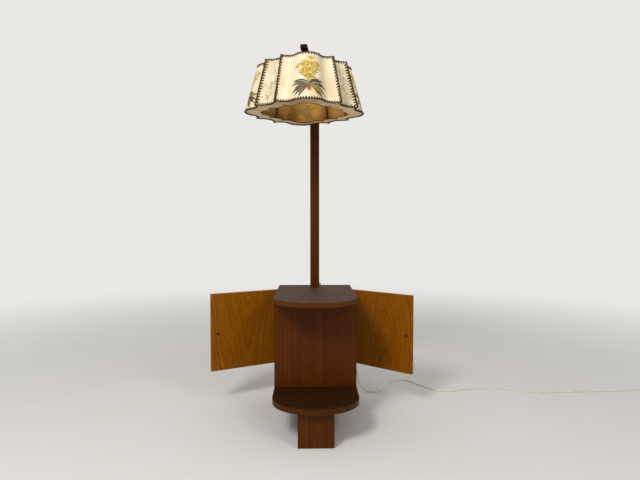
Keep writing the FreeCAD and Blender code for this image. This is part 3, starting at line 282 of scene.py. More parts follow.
@dataclass(frozen=True)
class Wood(Finish):
    """Old polished wood: streaks along the grain, fine dark pores and a faint gloss.

    The grain runs along the pattern's Z axis, and the face lies in its X and Z axes.
    """

    light: str = "#5A2C02"
    dark: str = "#3C1A00"
    pore: str = "#1E0C00"
    figure: Figure = Figure.QUARTERED
    centre: Triple = (0, 0, 0)
    turn: Triple = (0, 0, 0)
    line_width: float = 9.0
    line_detail: float = 4.0
    line_fineness: float = 0.66
    line_levels: Pair = (0.24, 0.76)
    layer_slant: float = 0.3
    wander: float = 6.0
    drifts: Patches = Patches((85, 85, 380), 0.2, 0.8)
    pith_distance: float = 34.0
    taper: float = 0.13
    bands: Patches = Patches((42, 42, 320), 0.3, 0.7)
    band_share: float = 0.5
    pores: Patches = Patches((0.9, 0.9, 22), 0.56, 0.74, 1.0)
    pore_share: float = 0.5
    pore_depth: float = 0.12
    pore_strength: float = 0.35
    wear: Patches = Patches((30, 30, 45), 0.3, 0.7, 4.0)
    roughness: float = 0.45
    roughness_spread: Pair = (-0.03, 0.05)
    ior: float = 1.5
    gloss: float = 0.1
    polish: float = 0.02
    polish_roughness: float = 0.3

    def shade(self, tree: Tree, shader: Node) -> None:
        """Link streaks, pores and gloss to the shader.

        Args:
            tree: The material's tree.
            shader: The shader that gets them.
        """
        grain = in_millimetres(tree, self.centre, self.turn)
        drift = self.drifts.drawn(tree, grain)
        parts = add_node(tree, "ShaderNodeSeparateXYZ", {0: grain})
        across = math_node(tree, "MULTIPLY_ADD", drift, self.wander, parts.outputs[0])
        rings = across
        if self.figure is Figure.CROWN:
            # Growth rings are cones about the pith, cut at a distance from it
            squared = math_node(tree, "MULTIPLY_ADD", across, across, self.pith_distance ** 2)
            rings = math_node(tree, "MULTIPLY_ADD", parts.outputs[2], -self.taper,
                              math_node(tree, "SQRT", squared))
        layer = math_node(tree, "MULTIPLY_ADD", parts.outputs[1], self.layer_slant, rings)
        counted = math_node(tree, "MULTIPLY", layer, 1 / self.line_width)
        lines = add_node(tree, "ShaderNodeTexNoise",
                         {"W": counted, "Scale": 1.0, "Detail": self.line_detail,
                          "Roughness": self.line_fineness}, noise_dimensions="1D")
        streak = ramp(tree, lines.outputs[0], *self.line_levels)
        band = math_node(tree, "MULTIPLY", self.bands.drawn(tree, grain), self.band_share)
        tone = blend_colours(tree, streak, linear(self.dark), linear(self.light))
        toned = blend_colours(tree, band, tone, linear(self.dark))
        pores = self.pores.drawn(tree, grain)
        shown = math_node(tree, "MULTIPLY", pores, self.pore_share)
        tree.links.new(blend_colours(tree, shown, toned, linear(self.pore)), shader.inputs["Base Color"])
        smooth, dull = (self.roughness + spread for spread in self.roughness_spread)
        worn = add_node(tree, "ShaderNodeMapRange",
                        {"Value": self.wear.drawn(tree, grain), "To Min": smooth, "To Max": dull})
        tree.links.new(worn.outputs[0], shader.inputs["Roughness"])
        set_levels(shader, {"IOR": self.ior, "Specular IOR Level": self.gloss, "Coat Weight": self.polish,
                            "Coat Roughness": self.polish_roughness})
        emboss(tree, shader, math_node(tree, "SUBTRACT", 1.0, pores), self.pore_depth, self.pore_strength)


@dataclass(frozen=True)
class Metal(Finish):
    """Bare or plated metal with tarnish in soft patches."""

    bright: str = "#C9A961"
    tarnish: str = "#7A6230"
    roughness: float = 0.35
    dulling: float = 0.2
    ageing: Patches = Patches(9, 0.35, 0.7, 4.0)
    grain: Patches = Patches(0.7)
    grain_depth: float = 0.03
    grain_strength: float = 0.4

    def shade(self, tree: Tree, shader: Node) -> None:
        """Link tarnish and a fine grain to the shader.

        Args:
            tree: The material's tree.
            shader: The shader that gets them.
        """
        place = in_millimetres(tree)
        aged = self.ageing.drawn(tree, place)
        tint(tree, shader, aged, self.bright, self.tarnish)
        roughen(tree, shader, aged, self.roughness, self.roughness + self.dulling)
        set_levels(shader, {"Metallic": 1.0})
        emboss(tree, shader, self.grain.drawn(tree, place), self.grain_depth, self.grain_strength)


@dataclass(frozen=True)
class Moulded(Finish):
    """Moulded resin or vinyl: an even colour with faint flow marks and a soft gloss."""

    colour: str = "#0F0D0C"
    flow: str = "#241A14"
    roughness: float = 0.28
    dulling: float = 0.15
    ior: float = 1.6
    marks: Patches = Patches((14, 14, 28), 0.4, 0.75, 4.0)
    wear: Patches = Patches(22, 0.35, 0.7, 3.0)
    texture: Patches = Patches(0.8)
    texture_depth: float = 0.02
    texture_strength: float = 0.4

    def shade(self, tree: Tree, shader: Node) -> None:
        """Link flow marks and handling wear to the shader.

        Args:
            tree: The material's tree.
            shader: The shader that gets them.
        """
        place = in_millimetres(tree)
        tint(tree, shader, self.marks.drawn(tree, place), self.colour, self.flow)
        roughen(tree, shader, self.wear.drawn(tree, place), self.roughness, self.roughness + self.dulling)
        set_levels(shader, {"IOR": self.ior})
        emboss(tree, shader, self.texture.drawn(tree, place), self.texture_depth, self.texture_strength)


@dataclass(frozen=True)
class Felt(Finish):
    """Pressed wool felt: matted fibres that catch light at the edges."""

    light: str = "#4A4238"
    dark: str = "#2C261F"
    fibres: Patches = Patches((0.8, 0.8, 0.4), detail=4.0)
    fibre_depth: float = 0.2
    roughness: float = 0.95
    sheen: float = 0.5

    def shade(self, tree: Tree, shader: Node) -> None:
        """Link matted fibres to the shader.

        Args:
            tree: The material's tree.
            shader: The shader that gets them.
        """
        matted = self.fibres.drawn(tree, in_millimetres(tree))
        tint(tree, shader, matted, self.dark, self.light)
        set_levels(shader, {"Roughness": self.roughness, "Sheen Weight": self.sheen})
        emboss(tree, shader, matted, self.fibre_depth)


@dataclass(frozen=True)
class Parchment(Finish):
    """Oiled parchment paper: cloudy cream with slightly darker flecks and a waxy sheen."""

    pale: str = "#F5E6C6"
    warm: str = "#E8D2A8"
    fleck: str = "#D2B884"
    fibre: str = "#8E875F"
    clouds: Patches = Patches(60, 0.35, 0.7, 3.0)
    flecks: Patches = Patches(3, 0.62, 0.8)
    relief: Patches = Patches(5, 0.3, 0.7, 4.0)
    relief_depth: float = 0.25
    relief_strength: float = 0.3
    fibre_share: float = 0.0
    fibre_edge: Pair = (0.006, 0.028)
    steep_lean: float = 32.0
    steep_fibres: Patches = Patches((15.4, 15.4, 70), 0.0, 1.0, 2.5)
    loose_lean: float = -16.0
    loose_fibres: Patches = Patches((35, 35, 70), 0.0, 1.0, 2.5)
    pleated: bool = False
    # Colour, strength and start of the painted shade at the bottom of each fold
    groove_shade: str = "#7C6240"
    groove_shade_share: float = 0.75
    groove_shade_from: float = -0.6
    roughness: float = 0.5
    gloss: float = 0.35

    def shade(self, tree: Tree, shader: Node) -> None:
        """Link clouds, flecks, any pressed-in fibres and any painted shade in the folds to the shader.

        Args:
            tree: The material's tree.
            shader: The shader that gets them.
        """
        place = in_millimetres(tree)
        ground = blend_colours(tree, self.clouds.drawn(tree, place), linear(self.pale), linear(self.warm))
        base = blend_colours(tree, self.flecks.drawn(tree, place), ground, linear(self.fleck))
        layers = ((self.steep_lean, self.steep_fibres), (self.loose_lean, self.loose_fibres))
        for lean, drawn_out in layers if self.fibre_share else ():
            # Each fibre is a level line of a noise that is drawn out along the fibres
            level = drawn_out.drawn(tree, in_millimetres(tree, turn=(0, lean, 0)))
            near = math_node(tree, "ABSOLUTE", math_node(tree, "SUBTRACT", level, 0.5))
            line = ramp(tree, near, *self.fibre_edge, self.fibre_share, 0.0)
            base = blend_colours(tree, line, base, linear(self.fibre))
        if self.pleated:
            # The mesh says how deep in a fold each point lies, and painted shade darkens the colour there
            depth = add_node(tree, "ShaderNodeAttribute", attribute_name="fold").outputs["Fac"]
            fold_shade = ramp(tree, depth, self.groove_shade_from, 1.0, 0.0, self.groove_shade_share)
            base = blend_colours(tree, fold_shade, base, linear(self.groove_shade))
        tree.links.new(base, shader.inputs["Base Color"])
        set_levels(shader, {"Roughness": self.roughness, "Specular IOR Level": self.gloss})
        emboss(tree, shader, self.relief.drawn(tree, place), self.relief_depth, self.relief_strength)


@dataclass(frozen=True)
class Paint(Finish):
    """Thin poster paint on parchment: brush streaks that let the ground through."""

    full: str = "#C79A12"
    thin: str = "#E0BE4A"
    streaks: Patches = Patches((2.2, 2.2, 6), 0.3, 0.7, 3.0)
    streak_depth: float = 0.05
    streak_strength: float = 0.4
    roughness: float = 0.6

    def shade(self, tree: Tree, shader: Node) -> None:
        """Link brush streaks to the shader.

        Args:
            tree: The material's tree.
            shader: The shader that gets them.
        """
        brushed = self.streaks.drawn(tree, in_millimetres(tree))
        tint(tree, shader, brushed, self.full, self.thin)
        set_levels(shader, {"Roughness": self.roughness})
        emboss(tree, shader, brushed, self.streak_depth, self.streak_strength)


@dataclass(frozen=True)
class Leather(Finish):
    """Waxed leather thong: dark brown with paler scuffs on the high spots."""

    dark: str = "#3E2206"
    scuffed: str = "#64400F"
    scuffs: Patches = Patches(4, 0.4, 0.72, 4.0)
    grain: Patches = Patches(0.9)
    grain_depth: float = 0.1
    roughness: float = 0.6
    gloss: float = 0.25

    def shade(self, tree: Tree, shader: Node) -> None:
        """Link scuffs and a fine grain to the shader.

        Args:
            tree: The material's tree.
            shader: The shader that gets them.
        """
        place = in_millimetres(tree)
        tint(tree, shader, self.scuffs.drawn(tree, place), self.dark, self.scuffed)
        set_levels(shader, {"Roughness": self.roughness, "Specular IOR Level": self.gloss})
        emboss(tree, shader, self.grain.drawn(tree, place), self.grain_depth)


@dataclass(frozen=True)
class OpalGlass(Finish):
    """Blown glass, etched inside: milky, with a soft surface gloss."""

    milk: str = "#F2EEE2"
    shadow: str = "#DDD8C8"
    haze: Patches = Patches(18, 0.35, 0.7)
    roughness: Pair = (0.3, 0.42)
    ior: float = 1.5
    transmission: float = 0.35

    def shade(self, tree: Tree, shader: Node) -> None:
        """Link the milky body to the shader.

        Args:
            tree: The material's tree.
            shader: The shader that gets it.
        """
        cloudy = self.haze.drawn(tree, in_millimetres(tree))
        tint(tree, shader, cloudy, self.milk, self.shadow)
        roughen(tree, shader, cloudy, *self.roughness)
        set_levels(shader, {"IOR": self.ior, "Transmission Weight": self.transmission})


@dataclass(frozen=True)
class StudioFloor(Finish):
    """Matt pale floor that runs out into the backdrop at a distance."""

    colour: str = "#F1EFEB"
    scuffed: str = "#EFEDE8"
    backdrop: str = "#E9E8E5"
    ambient: float = 0.52
    near: float = 1.1
    far: float = 5.0
    scuffs: Patches = Patches(400, 0.3, 0.7, 3.0)
    roughness: float = 0.7
    gloss: float = 0.2

    def surface(self, tree: Tree) -> Socket:
        """Blend the matt floor into the backdrop's glow, by the distance from the lamp.

        Args:
            tree: The material's tree.

        Returns:
            The blended shader's socket.
        """
        matt = add_node(tree, "ShaderNodeBsdfPrincipled",
                        {"Roughness": self.roughness, "Specular IOR Level": self.gloss})
        tint(tree, matt, self.scuffs.drawn(tree, in_millimetres(tree)), self.colour, self.scuffed)
        glow = add_node(tree, "ShaderNodeEmission",
                        {"Color": linear(self.backdrop), "Strength": seen_strength(tree, self.ambient)})
        place = add_node(tree, "ShaderNodeTexCoord")
        distance = add_node(tree, "ShaderNodeVectorMath", {0: place.outputs["Object"]}, operation="LENGTH")
        away = ramp(tree, distance.outputs["Value"], self.near, self.far)
        return add_node(tree, "ShaderNodeMixShader",
                        {0: away, 1: matt.outputs[0], 2: glow.outputs[0]}).outputs[0]


@dataclass(frozen=True)
class Studio:
    """Plain pale floor, two soft lamps and a camera where the photographer stood."""

    camera_at: Triple = (-0.0231, -2.1951, 0.8887)
    camera_down: float = 2.137
    camera_right: float = 1.152
    focal_length: float = 27.66
    sensor_width: float = 36.0
    floor_half: float = 30.0
    floor_drop: float = 0.0003
    floor_finish: StudioFloor = StudioFloor("rolled_pale_vinyl_floor")
    key_at: Triple = (-1.45, -2.6, 3.05)
    key_watts: float = 70.0
    fill_at: Triple = (1.545, -2.25, 2.3)
    fill_watts: float = 15.0
    lamp_size: float = 0.9
    aim: Triple = (0.0, 0.1, 0.8)

    def build(self) -> list[Object]:
        """Make the camera, the lamps, the world and the floor.

        Returns:
            The floor.
        """
        self.camera()
        self.world()
        self.lamp("key_lamp", self.key_at, self.key_watts)
        self.lamp("fill_lamp", self.fill_at, self.fill_watts)
        bpy.context.scene.view_settings.view_transform = "Standard"
        return [self.floor()]

    def camera(self) -> None:
        """Make the camera at the photograph's viewing angle."""
        lens = bpy.data.cameras.new("camera")
        lens.lens = self.focal_length
        lens.sensor_width = self.sensor_width
        lens.clip_end = 100.0
        camera = bpy.data.objects.new("camera", lens)
        camera.location = self.camera_at
        camera.rotation_euler = (math.radians(90 - self.camera_down), 0, -math.radians(self.camera_right))
        bpy.context.scene.collection.objects.link(camera)
        bpy.context.scene.camera = camera

    def lamp(self, name: str, at: Sequence[float], watts: float) -> None:
        """Make a square soft lamp that faces the middle of the object.

        Args:
            name: Its name.
            at: Where it stands.
            watts: Its power.
        """
        light = bpy.data.lights.new(name, "AREA")
        light.shape = "SQUARE"
        light.size = self.lamp_size
        light.energy = watts
        lamp = bpy.data.objects.new(name, light)
        lamp.location = at
        lamp.rotation_euler = (Vector(self.aim) - Vector(at)).to_track_quat("-Z", "Y").to_euler()
        bpy.context.scene.collection.objects.link(lamp)

    def world(self) -> None:
        """A pale backdrop for the eye and for gloss, and a plain level of light for the rest."""
        world = bpy.data.worlds.new("studio")
        bpy.context.scene.world = world
        world.use_nodes = True
        tree = world.node_tree
        tree.nodes.clear()
        sky = add_node(tree, "ShaderNodeBackground",
                       {"Color": linear(self.floor_finish.backdrop),
                        "Strength": seen_strength(tree, self.floor_finish.ambient)})
        add_node(tree, "ShaderNodeOutputWorld", {"Surface": sky.outputs[0]})

    def floor(self) -> Object:
        """Lay a plain pale floor.

        Returns:
            The floor.
        """
        half, level = self.floor_half, -self.floor_drop
        mesh = bpy.data.meshes.new("studio_floor")
        mesh.from_pydata([(-half, -half, level), (half, -half, level), (half, half, level),
                          (-half, half, level)], [], [(0, 1, 2, 3)])
        mesh.materials.append(self.floor_finish.material())
        floor = bpy.data.objects.new("studio_floor", mesh)
        bpy.context.scene.collection.objects.link(floor)
        return floor


def new_piece(name: str, mesh: Mesh, finishes: Iterable[Finish], body: str,
              replaced: Iterable[str] = ()) -> Object:
    """Put a finished mesh into the scene as a piece of the lamp.

    Args:
        name: The piece's name.
        mesh: Its mesh, in place in the lamp's frame.
        finishes: One finish for each of the mesh's material numbers.
        body: The body that it moves with.
        replaced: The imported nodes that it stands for.

    Returns:
        The new object.
    """
    if not mesh.materials:
        for finish in finishes:
            mesh.materials.append(finish.material())
    mesh.name = name
    piece = bpy.data.objects.new(name, mesh)
    bpy.context.scene.collection.objects.link(piece)
    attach(piece, body)
    if replaced:
        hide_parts(*replaced)
    return piece


def closed_mesh(name: str, points: Sequence[Vector], faces: Sequence[Sequence[int]],
                numbers: Sequence[int] | None = None, crease: float = 35.0) -> Mesh:
    """Make a smooth closed mesh with its faces pointing outwards.

    Args:
        name: The mesh's name.
        points: Its vertices.
        faces: Vertex numbers of each face.
        numbers: Each face's material number.
        crease: Edges sharper than this angle in degrees stay crisp.

    Returns:
        The mesh.
    """
    mesh = bpy.data.meshes.new(name)
    mesh.from_pydata([tuple(point) for point in points], [], [tuple(face) for face in faces])
    if numbers:
        mesh.polygons.foreach_set("material_index", list(numbers))
    work = bmesh.new()
    work.from_mesh(mesh)
    bmesh.ops.recalc_face_normals(work, faces=work.faces)
    work.to_mesh(mesh)
    work.free()
    mesh.shade_smooth()
    mesh.set_sharp_from_angle(angle=math.radians(crease))
    return mesh


def ring_faces(rings: int, count: int) -> list[tuple[int, ...]]:
    """Faces between closed rings of points that follow one another.

    Args:
        rings: How many rings there are.
        count: Points in each ring.

    Returns:
        Four vertex numbers for each face.
    """
    faces = []
    for first in range(0, (rings - 1) * count, count):
        for step in range(count):
            following = (step + 1) % count
            faces.append((first + step, first + following, first + count + following, first + count + step))
    return faces


def swept_tubes(name: str, runs: Sequence[Sequence[Vector]], radius: float, roundness: int = 3,
                crease: float = 50.0) -> Mesh:
    """Sweep a round bead along each of several open lines.

    Args:
        name: The mesh's name.
        runs: The points of each line.
        radius: The bead's radius.
        roundness: The bevel's resolution: the more, the rounder is the bead.
        crease: Edges sharper than this angle in degrees stay crisp.

    Returns:
        One mesh with all the beads, their ends closed.
    """
    curve = bpy.data.curves.new(name, "CURVE")
    curve.dimensions = "3D"
    curve.bevel_depth = radius
    curve.bevel_resolution = roundness
    curve.use_fill_caps = True
    for points in runs:
        spline = curve.splines.new("POLY")
        spline.points.add(len(points) - 1)
        for target, point in zip(spline.points, points):
            target.co = (*point, 1.0)
    holder = bpy.data.objects.new(name, curve)
    mesh = bpy.data.meshes.new_from_object(holder)
    bpy.data.objects.remove(holder)
    bpy.data.curves.remove(curve)
    mesh.shade_smooth()
    mesh.set_sharp_from_angle(angle=math.radians(crease))
    return mesh


def lathe(name: str, profile: Sequence[Spot], places: Sequence[Matrix],
          steps: int = 48) -> Mesh:
    """Turn a profile about one or more axes.

    Args:
        name: The mesh's name.
        profile: Radius and height of each point, from the axis and back to it.
        places: Where each axis stands, with the heights along its Z.
        steps: Faces round the axis.

    Returns:
        The closed mesh.
    """
    points, faces = [], []
    for place in places:
        rings: list[range] = []
        for radius, height in profile:
            count = 1 if radius == 0 else steps
            rings.append(range(len(points), len(points) + count))
            for step in range(count):
                angle = 2 * math.pi * step / steps
                points.append(place @ Vector((radius * math.cos(angle), radius * math.sin(angle), height)))
        for lower, upper in zip(rings, rings[1:]):
            for step in range(steps):
                following = (step + 1) % steps
                quad = [lower[step % len(lower)], lower[following % len(lower)],
                        upper[following % len(upper)], upper[step % len(upper)]]
                faces.append(list(dict.fromkeys(quad)))
    return closed_mesh(name, points, faces)


def baked(piece: Object, name: str) -> Mesh:
    """Apply an object's modifiers.

    Args:
        piece: The object.
        name: The new mesh's name.

    Returns:
        A plain mesh.
    """
    bpy.context.view_layer.update()
    evaluated = piece.evaluated_get(bpy.context.evaluated_depsgraph_get())
    mesh = bpy.data.meshes.new_from_object(evaluated)
    mesh.name = name
    return mesh


def dress(finishes: dict[str, Finish]) -> list[Object]:
    """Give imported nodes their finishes.

    Args:
        finishes: A finish for each node's name.

    Returns:
        The nodes' objects.
    """
    dressed = []
    for name, finish in finishes.items():
        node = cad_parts[name]
        node.data.materials.clear()
        node.data.materials.append(finish.material())
        dressed.append(node)
    return dressed


# Cast brass, hand-rubbed long ago: yellow where touched, brown in the hollows
BRASS = Metal("cast_brass_aged", bright="#C2A25C", tarnish="#7D6534", roughness=0.34)
# Brass blackened in hot oil: near black with a brown cast and a soft shine
BLACKENED = Metal("oil_blackened_brass", bright="#3A3024", tarnish="#1E1812", roughness=0.42)
# Turned steel, browned with age: dark heads with a dull glint
STEEL = Metal("turned_steel_browned", bright="#4C443A", tarnish="#2A241E", roughness=0.45,
              ageing=Patches(5, 0.35, 0.7, 4.0))
# Drawn steel wire under old lacquer: brown, with little shine
WIRE = Metal("drawn_wire_browned", bright="#3F362B", tarnish="#231C15", roughness=0.5)
# Phenolic resin pressed in a hot mould: black, with faint brown flow marks
BAKELITE = Moulded("pressed_black_bakelite")
# Urea resin pressed in a hot mould: ivory, yellowed unevenly
IVORY = Moulded("pressed_ivory_bakelite", colour="#D6CCAF", flow="#C2B48F", roughness=0.3)
# Vinyl drawn over copper strands: pale, dulled by floor dust
SHEATH = Moulded("extruded_pale_vinyl_sheath", colour="#ECE4D0", flow="#D4CAB2", roughness=0.42,
                 ior=1.53, marks=Patches((30, 30, 60), 0.4, 0.75, 4.0), texture_depth=0.03)


@dataclass
class MainsCord:
    """The cord from the pole's rear to its coil and plug, on one smooth line."""

    radius: float = 0.00325
    length: float = 3.37
    floor_z: float = 0.0033
    exit: Triple = (0, 0.309, 0.604)
    drop: list[Triple] = field(default_factory=lambda: [
        (0, 0.325, 0.604), (0.004, 0.338, 0.6005), (0.011, 0.3475, 0.591), (0.020, 0.3512, 0.577),
        (0.033, 0.3535, 0.556), (0.054, 0.355, 0.520), (0.084, 0.356, 0.462), (0.118, 0.3565, 0.388),
        (0.152, 0.356, 0.312), (0.182, 0.355, 0.238), (0.205, 0.354, 0.170), (0.219, 0.353, 0.118),
        (0.2265, 0.352, 0.078), (0.232, 0.351, 0.050), (0.243, 0.349, 0.026), (0.257, 0.343, 0.011),
        (0.271, 0.335, 0.0046),
    ])
    floor_run: list[Spot] = field(default_factory=lambda: [
        (0.290, 0.325), (0.312, 0.323), (0.333, 0.334), (0.350, 0.354), (0.366, 0.385), (0.394, 0.440),
        (0.430, 0.490), (0.470, 0.515), (0.507, 0.515), (0.535, 0.488), (0.560, 0.447), (0.588, 0.400),
        (0.622, 0.358), (0.665, 0.333), (0.718, 0.332), (0.775, 0.350), (0.835, 0.372), (0.900, 0.379),
        (0.960, 0.370), (1.025, 0.348), (1.090, 0.322), (1.150, 0.303), (1.215, 0.299), (1.285, 0.308),
        (1.370, 0.311), (1.455, 0.313), (1.545, 0.318), (1.630, 0.321), (1.690, 0.331), (1.745, 0.350),
        (1.797, 0.3578), (1.8435, 0.3578),
    ])
    coil_centre: Spot = (1.850, 0.401)
    coil_radius: float = 0.0432
    coil_pitch: float = 0.0082
    coil_turns: float = 4.0
    climb_turns: float = 0.5
    layer_rise: float = 0.0071
    points_a_turn: int = 20

    def coil(self) -> list[Triple]:
        """Wind the coil: in on the floor, a climb where it reverses, out on the second layer.

        Returns:
            Its points.
        """
        turns_in = (self.coil_turns - self.climb_turns) / 2
        points = []
        for step in range(round(self.coil_turns * self.points_a_turn) + 1):
            turn = step / self.points_a_turn
            drawn_in = min(turn, turns_in, self.coil_turns - turn)
            share = min(max((turn - turns_in) / self.climb_turns, 0), 1)
            radius = self.coil_radius - self.coil_pitch * drawn_in
            angle = 2 * math.pi * turn - math.pi / 2
            points.append((self.coil_centre[0] + radius * math.cos(angle),
                           self.coil_centre[1] + radius * math.sin(angle),
                           self.floor_z + self.layer_rise * share * share * (3 - 2 * share)))
        end = points[-1]
        points.append((end[0] + 2 * self.radius, end[1], end[2]))
        return points

    def build(self) -> list[Object]:
        """Make the cord and dress its plug.

        Returns:
            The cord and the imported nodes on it.
        """
        floor_points = [(x, y, self.floor_z) for x, y in self.floor_run]
        points = [self.exit, *self.drop, *floor_points, *self.coil()]
        curve = bpy.data.curves.new("mains_cord", "CURVE")
        curve.dimensions = "3D"
        spline = curve.splines.new("NURBS")
        spline.points.add(len(points) - 1)
        for target, point in zip(spline.points, points):
            target.co = (*point, 1.0)
        spline.order_u = 3
        spline.use_endpoint_u = True
        spline.resolution_u = 5
        curve.bevel_depth = self.radius
        curve.bevel_resolution = 3
        curve.use_fill_caps = True
        curve.materials.append(SHEATH.material())
        cord = bpy.data.objects.new("mains_cord", curve)
        bpy.context.scene.collection.objects.link(cord)
        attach(cord, "stand")
        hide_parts("cord", "cord_coil")
        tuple(self.exit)
        return [cord, *dress({"lead_in_pole": SHEATH, "lead_in_arm": SHEATH, "plug_body": IVORY,
                              "plug_pins": BRASS})]


@dataclass(frozen=True)
class Door:
    """One door: its side, how far it stands open, and how the arches lie in its veneer.

    The arches start from a share of the door's height, raised by a distance.
    """

    side: str
    outward: int
    turn: float
    arch_shift: float
    arch_from: float
    arch_raise: float
    pith_distance: float
    taper: float


@dataclass(frozen=True)
class Cabinet:
    """Plinth, boards, panels and the two open doors with their hinges and knobs."""

    screw_head_radius: float = 0.007
    screw_dome: float = 0.0009
    screw_head_height: float = 0.002
    shank_radius: float = 0.002
    slot_turn: float = 35.0
    slot_overrun: float = 1.2
    slot_half_width: float = 0.0007
    slot_depth: float = 0.0009
    doors: tuple[Door, ...] = (
        Door("left", -1, -63.0, arch_shift=0.02, arch_from=0, arch_raise=-0.1, pith_distance=26.0,
             taper=0.15),
        Door("right", 1, 51.0, arch_shift=0.015, arch_from=1, arch_raise=0, pith_distance=40.0,
             taper=-0.17),
    )

    def build(self) -> list[Object]:
        """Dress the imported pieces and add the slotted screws.

        Returns:
            Every piece of the cabinet.
        """
        # Shellacked walnut veneer, long worn: warm brown, even streaks and a faint gloss
        walnut = Wood("shellacked_walnut_veneer", light="#663403", dark="#3E1C00", line_width=10.0)
        # Sawn spruce, left bare inside: pale, dry and matt
        softwood = Wood("sawn_spruce_bare", light="#B08A58", dark="#8E6A3C", pore="#7A5730", turn=(90, 0, 0),
                        line_width=5.0, roughness=0.7, polish=0.0)
        # Dark-stained walnut rubbed with wax: dark brown and almost without a shine
        shelf_top = Wood("stained_walnut_waxed", light="#3A1E08", dark="#261102", pore="#140700",
                         turn=(0, 90, 0), line_width=9.0, roughness=0.55)
        # Dark-stained walnut under worn polish: a low sheen that lifts where light skims it
        table_top = Wood("stained_walnut_worn_polish", light="#4C2F1C", dark="#422819", pore="#28160C",
                         turn=(0, 90, 0), line_width=9.0, roughness=0.6, gloss=0.1, polish=0.02,
                         polish_roughness=0.4, band_share=0.2)
        # Veneer strip glued round the upper board: a rim of a lighter, warmer brown
        edge = Wood("ironed_edge_veneer_strip", light="#683802", dark="#4A2500", turn=(0, 90, 0),
                    line_width=6.0)
        # The same strip round the lower board, with painted shade: darker, as if in less light near the floor
        shaded_low_edge = Wood("ironed_edge_veneer_strip_dark", light="#5A2E02", dark="#3E1E00", turn=(0, 90, 0),
                        line_width=6.0)
        # Quarter-sliced veneer on the front: fine straight streaks in broad soft bands
        front = Wood("quarter_sliced_mahogany_veneer", light="#653200", dark="#481F00", pore="#260E00",
                     centre=(0.031, 0, 0.1), line_width=7.5, wander=4.0,
                     bands=Patches((55, 55, 500), 0.3, 0.7), band_share=0.6)
        # Turned beech pegs, left bare: pale end grain
        dowel = Wood("turned_beech_bare", light="#C19A68", dark="#A67F4C", pore="#8B6738", roughness=0.7,
                     polish=0.0)
        finishes: dict[str, Finish] = {
            "plinth_ends": walnut, "plinth_sides": walnut, "plinth_floor": softwood,
            "plinth_cleats": softwood, "lower_shelf": shelf_top, "lower_shelf_edge": shaded_low_edge,
            "top_board": table_top, "top_board_edge": edge, "front_panel": front, "back_panel": front,
            "panel_dowels": dowel, "shelf_screws": STEEL, "pole_screws": STEEL,
            "hinge_fixed_leaves": BRASS, "hinge_pins": BRASS, "hinge_fixed_screws": BRASS,
            "cord_grommet": BAKELITE, "cord_eye": WIRE,
        }
        screws = []
        for door in self.doors:
            finishes |= self.door_finishes(door)
            screws.append(self.knob_screw(door))
        return dress(finishes) + screws

    def door_finishes(self, door: Door) -> dict[str, Finish]:
        """Choose the finishes of a door's pieces, with the veneer's arches in the door's plane.

        Args:
            door: Which door.

        Returns:
            A finish for each node's name.
        """
        side = door.side
        low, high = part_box(f"{side}_door")
        middle = (low + high) / 2
        arch_base = low.lerp(high, door.arch_from).z + door.arch_raise
        # Crown-cut veneer: golden, with wide arches that straighten towards the sides
        veneer = Wood(f"crown_cut_golden_veneer_{side}", light="#A46402", dark="#7A4200", pore="#4E2800",
                      figure=Figure.CROWN, turn=(0, 0, door.turn + 90),
                      centre=(middle.x + door.arch_shift, middle.y, arch_base),
                      line_width=8.5, wander=34.0, pith_distance=door.pith_distance, taper=door.taper,
                      bands=Patches((34, 34, 150), 0.3, 0.7), band_share=0.4)
        # Turned walnut, polished on the lathe: rings of grain and a fair shine
        knob = Wood(f"turned_walnut_knob_{side}", light="#683B0A", dark="#452403", line_width=4.0,
                    roughness=0.34, gloss=0.4, polish=0.3)
        return {f"{side}_door": veneer, f"{side}_hinge_leaves": BRASS, f"{side}_hinge_screws": BRASS,
                f"{side}_knob": knob}

    def knob_screw(self, door: Door) -> Object:
        """Turn a domed, slotted screw for a door's inner face, with its shank.

        Args:
            door: Which door.

        Returns:
            The piece.
        """
        side = door.side
        node = f"{side}_knob_screw"
        low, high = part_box(node)
        outward = Matrix.Rotation(math.radians(door.turn), 3, "Z") @ Vector((door.outward, 0, 0))
        middle = (low + high) / 2
        along = [(vertex.co - middle).dot(outward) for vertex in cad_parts[node].data.vertices]
        head, tip = min(along), max(along)
        place = Matrix.Translation(middle) @ outward.to_track_quat("Z", "Y").to_matrix().to_4x4()
        radius, shank = self.screw_head_radius, self.shank_radius
        collar, seat = head + self.screw_dome, head + self.screw_head_height
        # Radius and height of the dome, the head's rim, the shank and its point
        profile = [(0, head), (radius * 0.5, head + self.screw_dome * 0.22),
                   (radius * 0.85, head + self.screw_dome * 0.72), (radius, collar + 0.0002), (radius, seat),
                   (shank, seat), (shank, tip - shank / 2), (shank * 0.6, tip), (0, tip)]
        mesh = lathe(node, profile, [place])
        piece = new_piece(f"{side}_slotted_screw", mesh, [STEEL], f"{side}_door", [node])
        self.cut_slot(piece, place, head)
        return piece

    def cut_slot(self, piece: Object, place: Matrix, head: float) -> None:
        """Saw a slot across a screw's head.

        Args:
            piece: The screw.
            place: Its axis, along Z.
            head: The height of its head on that axis.
        """
        half = (self.screw_head_radius * self.slot_overrun, self.slot_half_width, self.slot_depth)
        turned = place @ Matrix.Rotation(math.radians(self.slot_turn), 4, "Z")
        corners = [turned @ Vector((x * half[0], y * half[1], head + z * half[2]))
                   for x in (-1, 1) for y in (-1, 1) for z in (-1, 1)]
        faces = [(0, 1, 3, 2), (4, 5, 7, 6), (0, 1, 5, 4), (2, 3, 7, 6), (0, 2, 6, 4), (1, 3, 7, 5)]
        blade = bpy.data.objects.new("saw_blade", closed_mesh("saw_blade", corners, faces))
        bpy.context.scene.collection.objects.link(blade)
        cut = piece.modifiers.new("slot", "BOOLEAN")
        cut.operation = "DIFFERENCE"
        cut.solver = "EXACT"
        cut.object = blade
        piece.data = baked(piece, piece.data.name)
        piece.modifiers.clear()
        bpy.data.objects.remove(blade)


